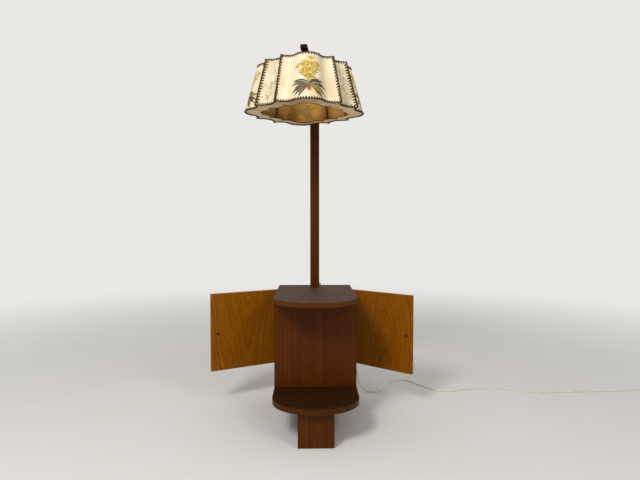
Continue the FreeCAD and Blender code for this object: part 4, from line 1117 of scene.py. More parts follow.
@dataclass
class PoleAndArm:
    """Square pole, brass swivel and the dark arm with its clamp knob."""

    arm_swing: float = -8.43
    arm_pitch: float = 12.0

    def build(self) -> list[Object]:
        """Dress the pole, the swivel joint and the arm.

        Returns:
            The dressed nodes.
        """
        # Shellacked walnut, quarter sawn: long reddish streaks
        pole = Wood("shellacked_walnut_pole", light="#623306", dark="#3C1A00", pore="#1E0C00",
                    centre=(0.008, 0.2845, 0), line_width=7.0, wander=9.0,
                    bands=Patches((20, 20, 260), 0.3, 0.7))
        # Ebonised beech: black stain that wears to brown
        ebonised = Wood("ebonised_beech_waxed", light="#2C1C0E", dark="#170E06", pore="#070301",
                        turn=(90 - self.arm_pitch, 0, self.arm_swing), line_width=9.0, roughness=0.62,
                        gloss=0.06, polish=0.0)
        # Pressed wool felt: dark and matt between the fork and the arm
        felt = Felt("pressed_wool_felt")
        return dress({
            "pole": pole, "swivel_bush": BRASS, "swivel_fork": BLACKENED, "tilt_washers": felt,
            "tilt_bolt": BLACKENED, "clamp_knob": BAKELITE, "arm": ebonised, "hanger_pin": BLACKENED,
            "hanger_link": BLACKENED,
        })


@dataclass(frozen=True)
class Bow:
    """Plan curve of a main shade panel: a convex arc between two concave arcs. It faces -Y."""

    reach: float
    scale: float = 1.0
    shoulder: float = 0.062
    shoulder_reach: float = 0.226
    edge: float = 0.1318
    edge_reach: float = 0.210

    @property
    def radius(self) -> float:
        """Radius of the convex arc."""
        rise = (self.reach - self.shoulder_reach) * self.scale
        return ((self.shoulder * self.scale) ** 2 + rise ** 2) / (2 * rise)

    @property
    def half_angle(self) -> float:
        """Half the angle of the convex arc."""
        return math.asin(self.shoulder * self.scale / self.radius)

    @property
    def flare_radius(self) -> float:
        """Radius of the concave arcs."""
        width, depth = self.edge - self.shoulder, self.edge_reach - self.shoulder_reach
        half = self.half_angle + math.atan2(depth, width)
        return math.hypot(width, depth) * self.scale / (2 * math.sin(half))

    def point(self, x: float, offset: float = 0.0) -> Spot:
        """A point of the curve, moved out along its normal.

        Args:
            x: Where it lies across the panel, before it moves.
            offset: How far it moves out.

        Returns:
            Its X and Y in plan.
        """
        if abs(x) <= self.shoulder * self.scale:
            angle = math.asin(x / self.radius)
            centre = self.reach * self.scale - self.radius
            radius = self.radius + offset
            return radius * math.sin(angle), -(centre + radius * math.cos(angle))
        flare = self.flare_radius
        flare_x = self.shoulder * self.scale + flare * math.sin(self.half_angle)
        flare_y = self.shoulder_reach * self.scale + flare * math.cos(self.half_angle)
        angle = math.asin((abs(x) - flare_x) / flare)
        radius = flare - offset
        return math.copysign(flare_x + radius * math.sin(angle), x), -(flare_y - radius * math.cos(angle))

    def facing(self, x: float) -> Spot:
        """The direction in which the curve faces at a place across the panel."""
        near, far = Vector(self.point(x)), Vector(self.point(x, MM))
        return tuple((far - near).normalized())


@dataclass(frozen=True)
class Cove:
    """Plan curve of a corner panel: an arc that dips in between two bows. It faces -Y here."""

    scale: float = 1.0
    edge: float = Bow.edge
    edge_reach: float = Bow.edge_reach
    depth: float = 0.030

    @property
    def half_span(self) -> float:
        """Half the straight distance between its ends."""
        return (self.edge_reach - self.edge) * self.scale / math.sqrt(2)

    @property
    def radius(self) -> float:
        """The arc's radius."""
        depth = self.depth * self.scale
        return (self.half_span ** 2 + depth ** 2) / (2 * depth)

    @property
    def half_angle(self) -> float:
        """Half the arc's angle."""
        return math.atan2(self.half_span, self.radius - self.depth * self.scale)

    def point(self, share: float, offset: float = 0.0, gap: float = 0.0) -> Spot:
        """A point of the arc, moved out along its normal.

        Args:
            share: Where it lies, from -1 at the left end to 1 at the right end.
            offset: How far it moves out.
            gap: How far both ends stop short of the bows.

        Returns:
            Its X and Y in plan.
        """
        ends = (self.edge + self.edge_reach) * self.scale / math.sqrt(2)
        centre = ends - self.depth * self.scale + self.radius
        angle = (self.half_angle - gap / self.radius) * share
        radius = self.radius - offset
        return radius * math.sin(angle), radius * math.cos(angle) - centre

    def facing(self, share: float) -> Spot:
        """The direction in which the arc faces."""
        angle = self.half_angle * share
        return -math.sin(angle), -math.cos(angle)


@dataclass(frozen=True)
class Stroke:
    """One brush stroke of a painting: a pointed leaf on the panel's face.

    Its angle from upright and its curl towards the tip are in radians.
    """

    x: float
    z: float
    length: float
    width: float
    angle: float
    paint: int
    curl: float = 0.0


# Poster paints, brushed on thinly: each has a full colour and the paler one where it thins
PAINTS = (
    Paint("poster_paint_yellow", full="#CFA40C", thin="#E2C440"),
    Paint("poster_paint_gold_ochre", full="#A9780E", thin="#C79A2C"),
    Paint("poster_paint_olive", full="#6E6A1E", thin="#8E8A3A"),
    Paint("poster_paint_umber", full="#3C2A18", thin="#5C4630"),
    Paint("poster_paint_sienna", full="#7C4310", thin="#9A6330"),
    Paint("poster_paint_grey_green", full="#7C7F66", thin="#A3A48A"),
)
YELLOW, OCHRE, OLIVE, UMBER, SIENNA, GREY_GREEN = range(len(PAINTS))
# The dark paints seen through the amber sheet from inside: a weak brown-olive shadow
PAINT_SHADOW = Paint("poster_paint_seen_through", full="#9C7C40", thin="#AE8A46")
# The colours dark enough to show through
COVERING = (OLIVE, UMBER)


@dataclass(frozen=True)
class Bouquet:
    """A painted spray of blossom above a fan of long leaves, tied with a ribbon.

    Lengths are in metres, leans in degrees from upright and the droop in radians. A growth
    is the least and the most that a length is multiplied by. A sprig's leaves lean from
    its stem by an angle between the two given.
    """

    seed: int
    tie_height: float = 0.060
    leaves: int = 14
    leaf_length: float = 0.080
    leaf_width: float = 0.0150
    leaf_root: float = -0.004
    leaf_fan: float = 80.0
    leaf_gap: float = 38.0
    leaf_stray: float = 6.0
    leaf_droop: float = 0.38
    upright_share: float = 0.35
    leaf_growth: Pair = (0.7, 1.08)
    leaf_paints: tuple[int, ...] = (UMBER, UMBER, OLIVE)
    vein_root: float = -0.006
    vein_share: float = 0.85
    vein_width: float = 0.0055
    vein_lean: float = 6.0
    vein_paints: tuple[int, ...] = (SIENNA, OCHRE, GREY_GREEN)
    stems: int = 7
    stem_length: float = 0.098
    stem_width: float = 0.0022
    stem_spread: float = 66.0
    stem_stray: float = 3.0
    stem_growth: Pair = (0.78, 1.08)
    ribbon_leans: tuple[float, ...] = (-162, 162, -178, 178)
    ribbon_length: float = 0.030
    ribbon_width: float = 0.0060
    blossoms: int = 4
    lowest_blossom: float = 0.34
    blossom_stray: Spot = (0.006, 0.004)
    sprig_leaf_length: float = 0.017
    sprig_leaf_width: float = 0.0046
    sprig_leaf_leans: Pair = (50, 95)
    sprig_leaf_paints: tuple[int, ...] = (OLIVE, GREY_GREEN, OCHRE)
    petals: int = 6
    petal_length: float = 0.0115
    petal_width: float = 0.0062
    petal_growth: Pair = (0.7, 1.15)
    petal_paints: tuple[int, ...] = (YELLOW, YELLOW, YELLOW, OCHRE)

    def strokes(self) -> list[Stroke]:
        """Work out every stroke, leaves first and blossoms over them.

        Returns:
            The strokes in the order in which they are painted.
        """
        chance = random.Random(self.seed)
        painted: list[Stroke] = []
        for number in range(self.leaves):
            spread = 2 * number / (self.leaves - 1) - 1
            lean = self.leaf_fan * spread + math.copysign(self.leaf_gap, spread)
            lean += chance.uniform(-self.leaf_stray, self.leaf_stray)
            sideways = abs(math.sin(math.radians(lean)))
            length = self.leaf_length * (self.upright_share + (1 - self.upright_share) * sideways)
            length *= chance.uniform(*self.leaf_growth)
            droop = math.copysign(self.leaf_droop, lean)
            painted.append(self.stroke(0, self.leaf_root, length, self.leaf_width, lean,
                                       chance.choice(self.leaf_paints), droop))
            painted.append(self.stroke(0, self.vein_root, length * self.vein_share, self.vein_width,
                                       lean + self.vein_lean, chance.choice(self.vein_paints), droop))
        for number in range(self.stems):
            lean = (-0.5 + number / (self.stems - 1)) * self.stem_spread
            lean += chance.uniform(-self.stem_stray, self.stem_stray)
            painted += self.sprig(chance, lean, self.stem_length * chance.uniform(*self.stem_growth))
        for lean in self.ribbon_leans:
            painted.append(self.stroke(0, self.leaf_root, self.ribbon_length, self.ribbon_width, lean,
                                       SIENNA))
        return painted

    def stroke(self, x: float, z: float, length: float, width: float, lean: float, paint: int,
               curl: float = 0.0) -> Stroke:
        """One stroke that starts at a point about the tie and leans from upright, in degrees."""
        return Stroke(x, self.tie_height + z, length, width, math.radians(lean), paint, curl)

    def sprig(self, chance: random.Random, lean: float, length: float) -> list[Stroke]:
        """A stem with small leaves and blossoms along its upper part.

        Args:
            chance: The source of unevenness.
            lean: The stem's lean from upright, in degrees.
            length: The stem's length.

        Returns:
            Its strokes.
        """
        direction = math.radians(lean)
        painted = [self.stroke(0, 0, length, self.stem_width, lean, OLIVE)]
        stray_x, stray_z = self.blossom_stray
        for number in range(self.blossoms):
            share = number / (self.blossoms - 1)
            reach = length * (self.lowest_blossom + (1 - self.lowest_blossom) * share)
            x = reach * math.sin(direction) + chance.uniform(-stray_x, stray_x)
            z = reach * math.cos(direction) + chance.uniform(-stray_z, stray_z)
            for side in (-1, 1):
                painted.append(self.stroke(x, z, self.sprig_leaf_length, self.sprig_leaf_width,
                                           lean + side * chance.uniform(*self.sprig_leaf_leans),
                                           chance.choice(self.sprig_leaf_paints)))
            start = chance.uniform(0, 360 / self.petals)
            for petal in range(self.petals):
                painted.append(self.stroke(x, z, self.petal_length * chance.uniform(*self.petal_growth),
                                           self.petal_width, start + 360 * petal / self.petals,
                                           chance.choice(self.petal_paints)))
        return painted


@dataclass(frozen=True)
class Thong:
    """One wrap of the lacing: X along the edge, Y outwards, Z off the panel's edge."""

    pitch: float = 0.0116
    leg: float = 0.0116
    inner_leg: float = 0.0024
    half_sheet: float = 0.0006
    reach: float = 0.0049
    bead_half: float = 0.0026
    thickness: float = 0.0011
    broad: float = 0.0062
    sides: int = 6

    def mesh(self) -> Mesh:
        """Make the wrap: out of one hole, over the edge and into the next hole.

        Returns:
            Its closed mesh.
        """
        face = self.half_sheet + self.thickness / 2
        wide = self.bead_half + self.thickness / 2
        # Share of the pitch along the edge, distance outwards, distance off the edge, share of the width
        stations = [
            (-0.26, self.half_sheet, -self.leg, 0.3), (-0.23, face, -self.leg * 0.86, 0.66),
            (-0.14, face + 0.0006, -self.leg * 0.4, 0.92), (-0.04, wide, 0.0006, 1.05),
            (0.03, wide * 0.66, self.reach * 0.8, 1.05), (0.08, 0.0, self.reach, 1.05),
            (0.13, -wide * 0.66, self.reach * 0.8, 1.05), (0.20, -wide, 0.0006, 1.0),
            (0.26, -face - 0.0006, -self.inner_leg * 0.4, 0.8), (0.32, -face, -self.inner_leg * 0.82, 0.46),
            (0.36, -self.half_sheet, -self.inner_leg, 0.2),
        ]
        line = [Vector((along * self.pitch, out, off)) for along, out, off, _ in stations]
        points = []
        for number, (_, _, _, width) in enumerate(stations):
            heading = (line[min(number + 1, len(line) - 1)] - line[max(number - 1, 0)]).normalized()
            broad = (Vector((1, 0, 0)) - heading * heading.x).normalized()
            thin = heading.cross(broad)
            for side in range(self.sides):
                angle = 2 * math.pi * side / self.sides
                points.append(line[number] + broad * (math.cos(angle) * width * self.broad / 2)
                              + thin * (math.sin(angle) * self.thickness / 2))
        faces = ring_faces(len(stations), self.sides)
        last = (len(stations) - 1) * self.sides
        faces += [tuple(range(self.sides)), tuple(range(last, last + self.sides))]
        return closed_mesh("thong", points, faces, crease=60)


def stitch_tree(tilt_seed: int = 5, size_seed: int = 9, sizes: Pair = (0.93, 1.06)) -> Tree:
    """Make geometry nodes that lay thongs along a line at a steady pitch, a little unevenly.

    Args:
        tilt_seed: The seed of the thongs' tilt.
        size_seed: The seed of their size.
        sizes: The smallest and the largest, as shares of the thong's own size.

    Returns:
        The node tree.
    """
    tree = bpy.data.node_groups.new("whip_stitches", "GeometryNodeTree")
    for name, kind in (("Line", "NodeSocketGeometry"), ("Thong", "NodeSocketObject"),
                       ("Pitch", "NodeSocketFloat"), ("Unevenness", "NodeSocketFloat"),
                       ("Leather", "NodeSocketMaterial")):
        tree.interface.new_socket(name, in_out="INPUT", socket_type=kind)
    tree.interface.new_socket("Stitches", in_out="OUTPUT", socket_type="NodeSocketGeometry")
    given = add_node(tree, "NodeGroupInput").outputs
    line = add_node(tree, "GeometryNodeMeshToCurve", {"Mesh": given["Line"]})
    spaced = add_node(tree, "GeometryNodeResampleCurve", {"Curve": line.outputs[0], "Length": given["Pitch"]},
                      mode="LENGTH")
    ways = {name: add_node(tree, "GeometryNodeInputNamedAttribute", {"Name": name},
                           data_type="FLOAT_VECTOR").outputs[0] for name in ("outward", "beyond")}
    beyond = add_node(tree, "FunctionNodeAlignRotationToVector", {"Vector": ways["beyond"]}, axis="Z")
    outward = add_node(tree, "FunctionNodeAlignRotationToVector",
                       {"Rotation": beyond.outputs[0], "Vector": ways["outward"]}, axis="Y", pivot_axis="Z")
    less = math_node(tree, "MULTIPLY", given["Unevenness"], -1.0)
    tilt = add_node(tree, "FunctionNodeRandomValue",
                    {2: less, 3: given["Unevenness"], "Seed": tilt_seed}, data_type="FLOAT")
    turn = add_node(tree, "ShaderNodeCombineXYZ", {"Y": tilt.outputs[1]})
    swung = add_node(tree, "FunctionNodeRotateRotation",
                     {0: outward.outputs[0], 1: turn.outputs[0]}, rotation_space="LOCAL")
    size = add_node(tree, "FunctionNodeRandomValue", {2: sizes[0], 3: sizes[1], "Seed": size_seed},
                    data_type="FLOAT")
    thong = add_node(tree, "GeometryNodeObjectInfo", {"Object": given["Thong"]})
    laid = add_node(tree, "GeometryNodeInstanceOnPoints",
                    {"Points": spaced.outputs[0], "Instance": thong.outputs["Geometry"],
                     "Rotation": swung.outputs[0], "Scale": size.outputs[1]})
    real = add_node(tree, "GeometryNodeRealizeInstances", {0: laid.outputs[0]})
    coloured = add_node(tree, "GeometryNodeSetMaterial",
                        {"Geometry": real.outputs[0], "Material": given["Leather"]})
    add_node(tree, "NodeGroupOutput", {0: coloured.outputs[0]})
    return tree


# Points along an edge, each with the way that the sheet faces and the way off its edge
Line = list[tuple[Vector, Vector, Vector]]


@dataclass
class Shade:
    """The shade on its wire frame: bowed and corner panels, collar, paintings and lacing."""

    height: float = 0.189
    turn: float = 4.5
    top_scale: float = 0.791
    half_sheet: float = 0.0006
    corner_gap: float = 0.0026
    lacing_gap: float = 0.0074
    ring_offset: float = 0.0009
    collar_scale: float = 0.74
    collar_thickness: float = 0.0012
    collar_levels: Pair = (1.0, 0.35)
    collar_shares: tuple[float, ...] = (0.0, 0.06, 0.3, 0.7, 0.95, 1.0)
    collar_sag: float = 0.0042
    pleat: float = 0.0066
    pleat_height: float = 0.0020
    tape_radius: float = 0.0017
    tape_stride: int = 3
    plan_steps: int = 40
    plan_trim: float = 0.003
    plan_cove_reach: float = 0.95
    bead_radius: float = 0.0021
    bead_seat: float = 0.85
    seam_step: float = 0.0024
    seam_overrun: float = 0.001
    rim_trim: float = 0.004
    seam_trim: float = 0.006
    cove_trim: float = 0.0095
    knot_radius: float = 0.0036
    rows: int = 13
    columns: int = 57
    cove_columns: int = 17
    paint_sink: float = 0.0001
    paint_lift: float = 0.00009
    paint_layers: int = 6
    stroke_tip: float = 0.05
    stroke_belly: float = 0.8
    stroke_step: float = 0.0032
    fewest_steps: int = 5
    stroke_rib: float = 0.0034
    unevenness: float = 0.10
    reaches: tuple[float, ...] = (0.266, 0.257, 0.266, 0.257)
    sides: tuple[str, ...] = ("front", "right", "back", "left")
    seam_thong: Thong = Thong()
    rim_thong: Thong = Thong(pitch=0.0108, leg=0.0066, inner_leg=0.0060, broad=0.0066)

    def __post_init__(self) -> None:
        """Find the shade's place from the pin that it hangs on and from its collar."""
        low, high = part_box("hanger_pin")
        pin = (low + high) / 2
        self.place = (Matrix.Translation((pin.x, pin.y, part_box("shade_collar")[0].z))
                      @ Matrix.Rotation(math.radians(self.turn), 4, "Z"))
        # Parchment paper soaked in oil, outer face: warm cream with a waxy surface
        self.outside = Parchment("oiled_parchment_cream")
        # The same sheet from inside, with painted light: amber, standing in for warm light that passes
        # through the sheet
        self.inside = Parchment("oiled_parchment_amber_side", pale="#D4A050", warm="#C08E42", fleck="#A87A34")
        # Paper with long fibres pressed in, outer face: paler, with grey-green hairlines
        self.fibre_outside = Parchment("fibre_paper_cream", pale="#EFE2C0", warm="#E0CFA6", fleck="#CDB98C",
                                       fibre_share=0.78)
        # The fibre paper from inside, with painted light: amber for light that passes through it, and weak
        # brown hairlines
        self.fibre_inside = Parchment("fibre_paper_amber_side", pale="#D09C4E", warm="#BC8A40",
                                      fleck="#A07430", fibre="#8A6628", fibre_share=0.5)
        # Undyed parchment strip, hand-pleated: a dull tan, with painted shade in its folds
        self.collar_paper = Parchment("pleated_parchment_strip", pale="#EAD2AC", warm="#DABF94",
                                      fleck="#C0A478", pleated=True)
        # Leather thong dressed with wax: dark brown and hardly glossy
        self.leather = Leather("waxed_leather_thong")
        # Cotton tape over the collar's inner edge: a lighter, dry brown
        self.tape = Leather("woven_cotton_tape", dark="#4E2E0C", scuffed="#6E461A")

    def scale_at(self, z: float) -> float:
        """How much the plan has shrunk at a height above the bottom rim."""
        return 1 - (1 - self.top_scale) * z / self.height

    def bow(self, quarter: int, z: float) -> Bow:
        """The plan curve of a main panel at a height."""
        return Bow(self.reaches[quarter], self.scale_at(z))

    def at(self, quarter: float, spot: Spot, z: float) -> Vector:
        """A plan point of the front side, carried round to another side and into the lamp's frame."""
        return self.place @ (Matrix.Rotation(math.radians(90 * quarter), 4, "Z") @ Vector((*spot, z)))

    def on_panel(self, quarter: int, x: float, z: float, lift: float) -> Vector:
        """A point on a main panel's face.

        Args:
            quarter: Which side.
            x: How far across, measured at the bottom rim's scale.
            z: How far up.
            lift: How far off the sheet's middle, outwards.

        Returns:
            The point in the lamp's frame.
        """
        bow = self.bow(quarter, z)
        return self.at(quarter, bow.point(x * bow.scale, lift), z)

    def wall(self, name: str, corner: Callable[[float, float, float], Vector], columns: int,
             finishes: tuple[Finish, Finish], node: str | None) -> Object:
        """A sheet with two faces and closed edges.

        Args:
            name: The piece's name.
            corner: Gives the point at a place across from -1 to 1, a height and an offset.
            columns: Points across.
            finishes: The outer and the inner finish.
            node: The node that the sheet stands for.

        Returns:
            The piece.
        """
        heights = [self.height * row / (self.rows - 1) for row in range(self.rows)]
        spread = [2 * column / (columns - 1) - 1 for column in range(columns)]
        points = [corner(across, z, offset) for offset in (self.half_sheet, -self.half_sheet)
                  for z in heights for across in spread]
        faces, numbers = [], []
        layer = self.rows * columns
        for row in range(self.rows - 1):
            for column in range(columns - 1):
                first = row * columns + column
                quad = (first, first + 1, first + 1 + columns, first + columns)
                faces += [quad, tuple(layer + index for index in reversed(quad))]
                numbers += [0, 1]
        rim = (list(range(columns)) + [row * columns + columns - 1 for row in range(1, self.rows)]
               + [(self.rows - 1) * columns + column for column in range(columns - 2, -1, -1)]
               + [row * columns for row in range(self.rows - 2, 0, -1)])
        for start, end in zip(rim, rim[1:] + rim[:1]):
            faces.append((end, start, start + layer, end + layer))
            numbers.append(0)
        mesh = closed_mesh(name, points, faces, numbers)
        return new_piece(name, mesh, finishes, "shade", [node] if node else [])

    def main_panel(self, quarter: int) -> Object:
        """Make one bowed panel.

        Args:
            quarter: Which side.

        Returns:
            The piece.
        """
        def corner(across: float, z: float, offset: float) -> Vector:
            """A corner of the sheet's grid."""
            bow = self.bow(quarter, z)
            return self.at(quarter, bow.point(across * bow.edge * bow.scale, offset), z)
        side = self.sides[quarter]
        return self.wall(f"{side}_parchment", corner, self.columns, (self.outside, self.inside),
                         f"{side}_shade_panel")

    def corner_panel(self, quarter: int) -> Object:
        """Make one cove of fibre paper between two main panels.

        Args:
            quarter: The side before it.

        Returns:
            The piece.
        """
        def corner(across: float, z: float, offset: float) -> Vector:
            """A corner of the sheet's grid."""
            return self.at(quarter + 0.5, Cove(self.scale_at(z)).point(across, offset, self.corner_gap), z)
        return self.wall(f"corner_paper_{quarter}", corner, self.cove_columns,
                         (self.fibre_outside, self.fibre_inside),
                         "corner_shade_panels" if quarter == 0 else None)

    def painting(self, quarter: int, bouquet: Bouquet, inside: bool) -> Object:
        """A bouquet on a panel's outer face, or its shadow on the inner face.

        Args:
            quarter: Which side.
            bouquet: What is painted there.
            inside: Whether this is the shadow seen from inside.

        Returns:
            The piece.
        """
        points, faces, numbers = [], [], []
        side = -1 if inside else 1
        for number, stroke in enumerate(bouquet.strokes()):
            if inside and stroke.paint not in COVERING:
                continue
            first = len(points)
            steps = max(self.fewest_steps, math.ceil(stroke.length / self.stroke_step))
            ribs = max(1, math.ceil(stroke.width / self.stroke_rib))
            for lift in (self.half_sheet - self.paint_sink,
                         self.half_sheet + self.paint_lift * (1 + number % self.paint_layers)):
                for step in range(steps + 1):
                    share = step / steps
                    bend = stroke.angle + stroke.curl * share
                    x = stroke.x + stroke.length * share * math.sin(bend)
                    z = stroke.z + stroke.length * share * math.cos(bend)
                    swell = math.sin(math.pi * share ** self.stroke_belly)
                    half = stroke.width * (self.stroke_tip + (1 - self.stroke_tip) * swell) / 2
                    for rib in range(ribs + 1):
                        edge = half * (2 * rib / ribs - 1)
                        points.append(self.on_panel(quarter, x + edge * math.cos(bend),
                                                    z - edge * math.sin(bend), side * lift))
            row = ribs + 1
            layer = row * (steps + 1)
            grid = [first + step * row + rib for step in range(steps) for rib in range(ribs)]
            made = [(base, base + 1, base + 1 + row, base + row) for base in grid]
            made += [tuple(index + layer for index in reversed(quad)) for quad in made]
            for base in (first + step * row + edge for step in range(steps) for edge in (0, ribs)):
                made.append((base, base + row, base + row + layer, base + layer))
            for base in (first + end + rib for end in (0, steps * row) for rib in range(ribs)):
                made.append((base, base + layer, base + 1 + layer, base + 1))
            faces += made
            numbers += [0 if inside else stroke.paint] * len(made)
        name = f"{self.sides[quarter]}_painting" + ("_shadow" if inside else "")
        mesh = closed_mesh(name, points, faces, numbers, crease=60)
        return new_piece(name, mesh, [PAINT_SHADOW] if inside else PAINTS, "shade")

    def middle(self, turn: float, across: float, z: float) -> Vector:
        """A point in a sheet's thickness.

        Args:
            turn: Which sheet: whole turns are main panels, half turns are coves.
            across: Where it lies, from -1 at the left edge to 1 at the right edge.
            z: How far up.

        Returns:
            The point in the lamp's frame.
        """
        if turn % 1:
            return self.at(turn, Cove(self.scale_at(z)).point(across, 0, self.corner_gap), z)
        bow = self.bow(int(turn), z)
        return self.at(turn, bow.point(across * bow.edge * bow.scale), z)

    def edge_line(self, turn: float, spots: Iterable[Spot], off: Spot) -> Line:
        """A line along one of a sheet's edges.

        Args:
            turn: Which sheet: whole turns are main panels, half turns are coves.
            spots: Where each point lies across and up.
            off: The way off the edge: 1 or -1 across, or 1 or -1 up.

        Returns:
            Each point, the way that the sheet faces there, and the way off its edge.
        """
        line: Line = []
        for across, z in spots:
            along = self.middle(turn, across + MM, z) - self.middle(turn, across - MM, z)
            up = self.middle(turn, across, z + MM) - self.middle(turn, across, z - MM)
            beyond = along.normalized() * off[0] + up.normalized() * off[1]
            beyond -= beyond.project(up if off[0] else along)
            line.append((self.middle(turn, across, z), along.cross(up).normalized(), beyond.normalized()))
        return line

    def rim_lines(self, z: float, trim: float = 0.0) -> list[Line]:
        """Lines along a rim, one for each sheet.

        Args:
            z: The rim's height.
            trim: How far each line stops short of its sheet's ends.

        Returns:
            Eight lines.
        """
        lines: list[Line] = []
        spread = [2 * step / (self.columns - 1) - 1 for step in range(self.columns)]
        cove, bow = Cove(self.scale_at(z)), self.bow(0, z)
        main_reach = 1 - trim / (bow.edge * bow.scale)
        cove_reach = 1 - (trim + self.lacing_gap - self.corner_gap) / (cove.radius * cove.half_angle)
        for quarter in range(4):
            for turn, reach in ((quarter, main_reach), (quarter + 0.5, cove_reach)):
                lines.append(self.edge_line(turn, [(across * reach, z) for across in spread],
                                            (0, 1 if z else -1)))
        return lines

    def seam_lines(self, trim: float, half_turn: float = 0.0) -> list[Line]:
        """Lines along the upright edges of the main panels or of the coves.

        Args:
            trim: How far each line stops short of the rims.
            half_turn: 0 for the main panels and 0.5 for the coves.

        Returns:
            Eight lines.
        """
        heights = (trim, self.height / 2, self.height - trim)
        return [self.edge_line(quarter + half_turn, [(side, z) for z in heights], (side, 0))
                for quarter in range(4) for side in (-1, 1)]

    def stitches(self, name: str, lines: list[Line], wrap: Thong) -> Object:
        """Whip stitches along several lines.

        Args:
            name: The piece's name.
            lines: The lines.
            wrap: The shape of one stitch.

        Returns:
            The piece.
        """
        mesh = bpy.data.meshes.new(name + "_line")
        edges: list[tuple[int, int]] = []
        points = [point for line in lines for point, _, _ in line]
        start = 0
        for line in lines:
            edges += [(start + step, start + step + 1) for step in range(len(line) - 1)]
            start += len(line)
        mesh.from_pydata(points, edges, [])
        for number, way in enumerate(("outward", "beyond"), 1):
            parts = [part for line in lines for spot in line for part in spot[number]]
            mesh.attributes.new(way, "FLOAT_VECTOR", "POINT").data.foreach_set("vector", parts)
        holder = bpy.data.objects.new(name + "_line", mesh)
        thong = bpy.data.objects.new("thong", wrap.mesh())
        for made in (holder, thong):
            bpy.context.scene.collection.objects.link(made)
        modifier = holder.modifiers.new("stitches", "NODES")
        tree = bpy.data.node_groups.get("whip_stitches") or stitch_tree()
        sockets = {item.name: item.identifier for item in tree.interface.items_tree
                   if item.in_out == "INPUT"}
        modifier.node_group = tree
        modifier[sockets["Thong"]] = thong
        modifier[sockets["Pitch"]] = wrap.pitch
        modifier[sockets["Unevenness"]] = self.unevenness
        modifier[sockets["Leather"]] = self.leather.material()
        stitched = baked(holder, name)
        bpy.data.objects.remove(holder)
        bpy.data.objects.remove(thong)
        return self.laced(name, stitched)

    def laced(self, name: str, mesh: Mesh, nodes: Iterable[str] = ()) -> Object:
        """A piece of leather on the shade, and the nodes that it stands for."""
        return new_piece(name, mesh, [self.leather], "shade", nodes)

    def lacing(self) -> list[Object]:
        """Make the beads, whip stitches and knots on both rims and on the seams.

        Returns:
            The pieces.
        """
        pieces = []
        for node, z in (("lacing_bottom", 0.0), ("lacing_top", self.height)):
            runs = [[point + beyond * self.bead_radius * self.bead_seat for point, _, beyond in line]
                    for line in self.rim_lines(z)]
            pieces.append(self.laced(f"{node}_bead", swept_tubes(node, runs, self.bead_radius), [node]))
            pieces.append(self.stitches(f"{node}_stitches", self.rim_lines(z, self.rim_trim), self.rim_thong))
        runs = [[point + beyond * self.seam_step for point, _, beyond in line]
                for line in self.seam_lines(-self.seam_overrun)]
        beads = swept_tubes("seam_beads", runs, self.bead_radius)
        pieces.append(self.laced("seam_beads", beads, ["lacing_seams"]))
        pieces.append(self.stitches("seam_stitches", self.seam_lines(self.seam_trim), self.seam_thong))
        cove_lines = self.seam_lines(self.cove_trim, 0.5)
        pieces.append(self.stitches("cove_seam_stitches", cove_lines, self.seam_thong))
        # A pulled-tight knot: a lump that is flatter than it is wide
        lump = [(self.knot_radius * wide, self.knot_radius * high) for wide, high in (
            (0, -0.8), (0.6, -0.66), (0.95, -0.2), (1, 0.15), (0.7, 0.6), (0, 0.8))]
        ends = [Matrix.Translation(point) for run in runs for point in (run[0], run[-1])]
        pieces.append(self.laced("lacing_knots", lathe("lacing_knots", lump, ends, 12)))
        return pieces

    def plan(self) -> list[tuple[Vector, Vector]]:
        """Trace the whole closed plan at full scale, a quarter pleat apart.

        Returns:
            Each point, and the way that the curve faces there.
        """
        rough: list[tuple[Vector, Vector]] = []
        for quarter in range(4):
            bow, cove = Bow(self.reaches[quarter]), Cove()
            for turn, curve, reach in ((quarter, bow, bow.edge - self.plan_trim),
                                       (quarter + 0.5, cove, self.plan_cove_reach)):
                frame_turn = Matrix.Rotation(math.radians(90 * turn), 2)
                for step in range(2 * self.plan_steps + 1):
                    across = reach * (step / self.plan_steps - 1)
                    rough.append((frame_turn @ Vector(curve.point(across)),
                                  frame_turn @ Vector(curve.facing(across))))
        rough.append(rough[0])
        lengths = [0.0]
        for (before, _), (after, _) in zip(rough, rough[1:]):
            lengths.append(lengths[-1] + (after - before).length)
        count = round(lengths[-1] / self.pleat) * 4
        points, index = [], 0
        for step in range(count):
            target = lengths[-1] * step / count
            while lengths[index + 1] < target:
                index += 1
            share = (target - lengths[index]) / (lengths[index + 1] - lengths[index])
            points.append((rough[index][0].lerp(rough[index + 1][0], share),
                           rough[index][1].lerp(rough[index + 1][1], share)))
        return points

    def collar(self) -> list[Object]:
        """Make the pleated strip that turns in at the bottom, and the tape that binds its inner edge.

        Returns:
            The strip and the tape.
        """
        plan = self.plan()
        count, rings = len(plan), len(self.collar_shares)
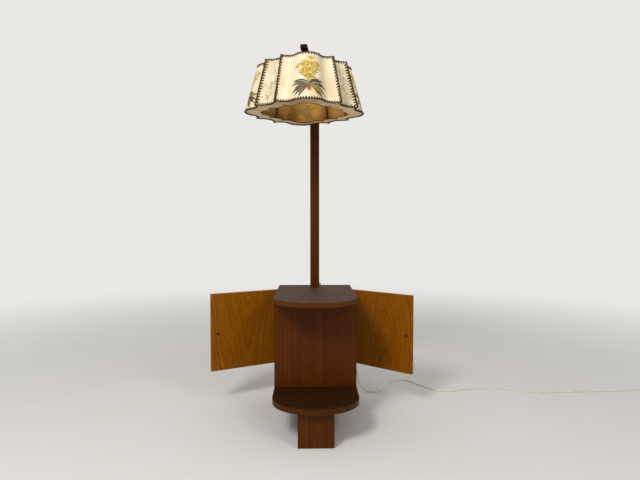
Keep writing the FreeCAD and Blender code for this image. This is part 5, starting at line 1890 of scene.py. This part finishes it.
        # Seen from below, 1 is the bottom of a fold and -1 its crest
        folds = [math.cos(math.pi * step / 2) for step in range(count)]
        points = []
        for level in self.collar_levels:
            for share in self.collar_shares:
                height = self.pleat_height * math.sin(math.pi * share) ** 0.5
                for (spot, facing), fold in zip(plan, folds):
                    across = (spot - facing * self.ring_offset).lerp(spot * self.collar_scale, share)
                    z = self.collar_thickness * level - self.collar_sag * share + fold * height
                    points.append(self.place @ Vector((*across, z)))
        layer = rings * count
        upper = ring_faces(rings, count)
        faces = upper + [tuple(layer + index for index in reversed(quad)) for quad in upper]
        for start in (0, layer - count):
            for step in range(count):
                first, second = start + step, start + (step + 1) % count
                faces.append((first, second, layer + second, layer + first))
        mesh = closed_mesh("pleated_collar", points, faces, crease=70)
        mesh.attributes.new("fold", "FLOAT", "POINT").data.foreach_set("value", folds * (2 * rings))
        strip = new_piece("pleated_collar", mesh, [self.collar_paper], "shade",
                          ["shade_collar"])
        level = self.collar_thickness / 2 - self.collar_sag
        edge = [self.place @ Vector((*(spot * self.collar_scale), level))
                for spot, _ in plan[::self.tape_stride]]
        tape = swept_tubes("collar_binding", [edge + edge[:1]], self.tape_radius, roundness=2)
        return [strip, new_piece("collar_binding", tape, [self.tape], "shade")]

    def build(self) -> list[Object]:
        """Make every piece of the shade and dress its fittings.

        Returns:
            All its pieces.
        """
        pieces = [self.main_panel(quarter) for quarter in range(4)]
        pieces += [self.corner_panel(quarter) for quarter in range(4)]
        for quarter in range(4):
            bouquet = Bouquet(seed=11 + quarter)
            pieces += [self.painting(quarter, bouquet, inside) for inside in (False, True)]
        pieces += self.lacing()
        pieces += self.collar()
        # Rolled aluminium: a pale screw cap with a fine grain
        cap = Metal("rolled_aluminium_cap", bright="#B9B9B7", tarnish="#8D8D8A", roughness=0.3)
        # Blown bulb etched on the inside: an even milky white
        bulb = OpalGlass("etched_bulb_glass")
        pieces += dress({
            "shade_wire_frame": WIRE, "shade_carrier": WIRE, "shade_ring_nuts": BAKELITE,
            "lampholder": BAKELITE, "lampholder_cap": BAKELITE, "switch_key": BAKELITE,
            "bulb_base": cap, "bulb_glass": bulb,
        })
        return pieces


def main() -> None:
    """Build the sub-assemblies in order and report each piece."""
    logging.basicConfig(level=logging.INFO, format="%(message)s")
    for assembly in (Studio(), MainsCord(), Cabinet(), PoleAndArm(), Shade()):
        for piece in assembly.build():
            log.info("%s: %s", type(assembly).__name__, piece.name)


if __name__ == "__main__":
    main()
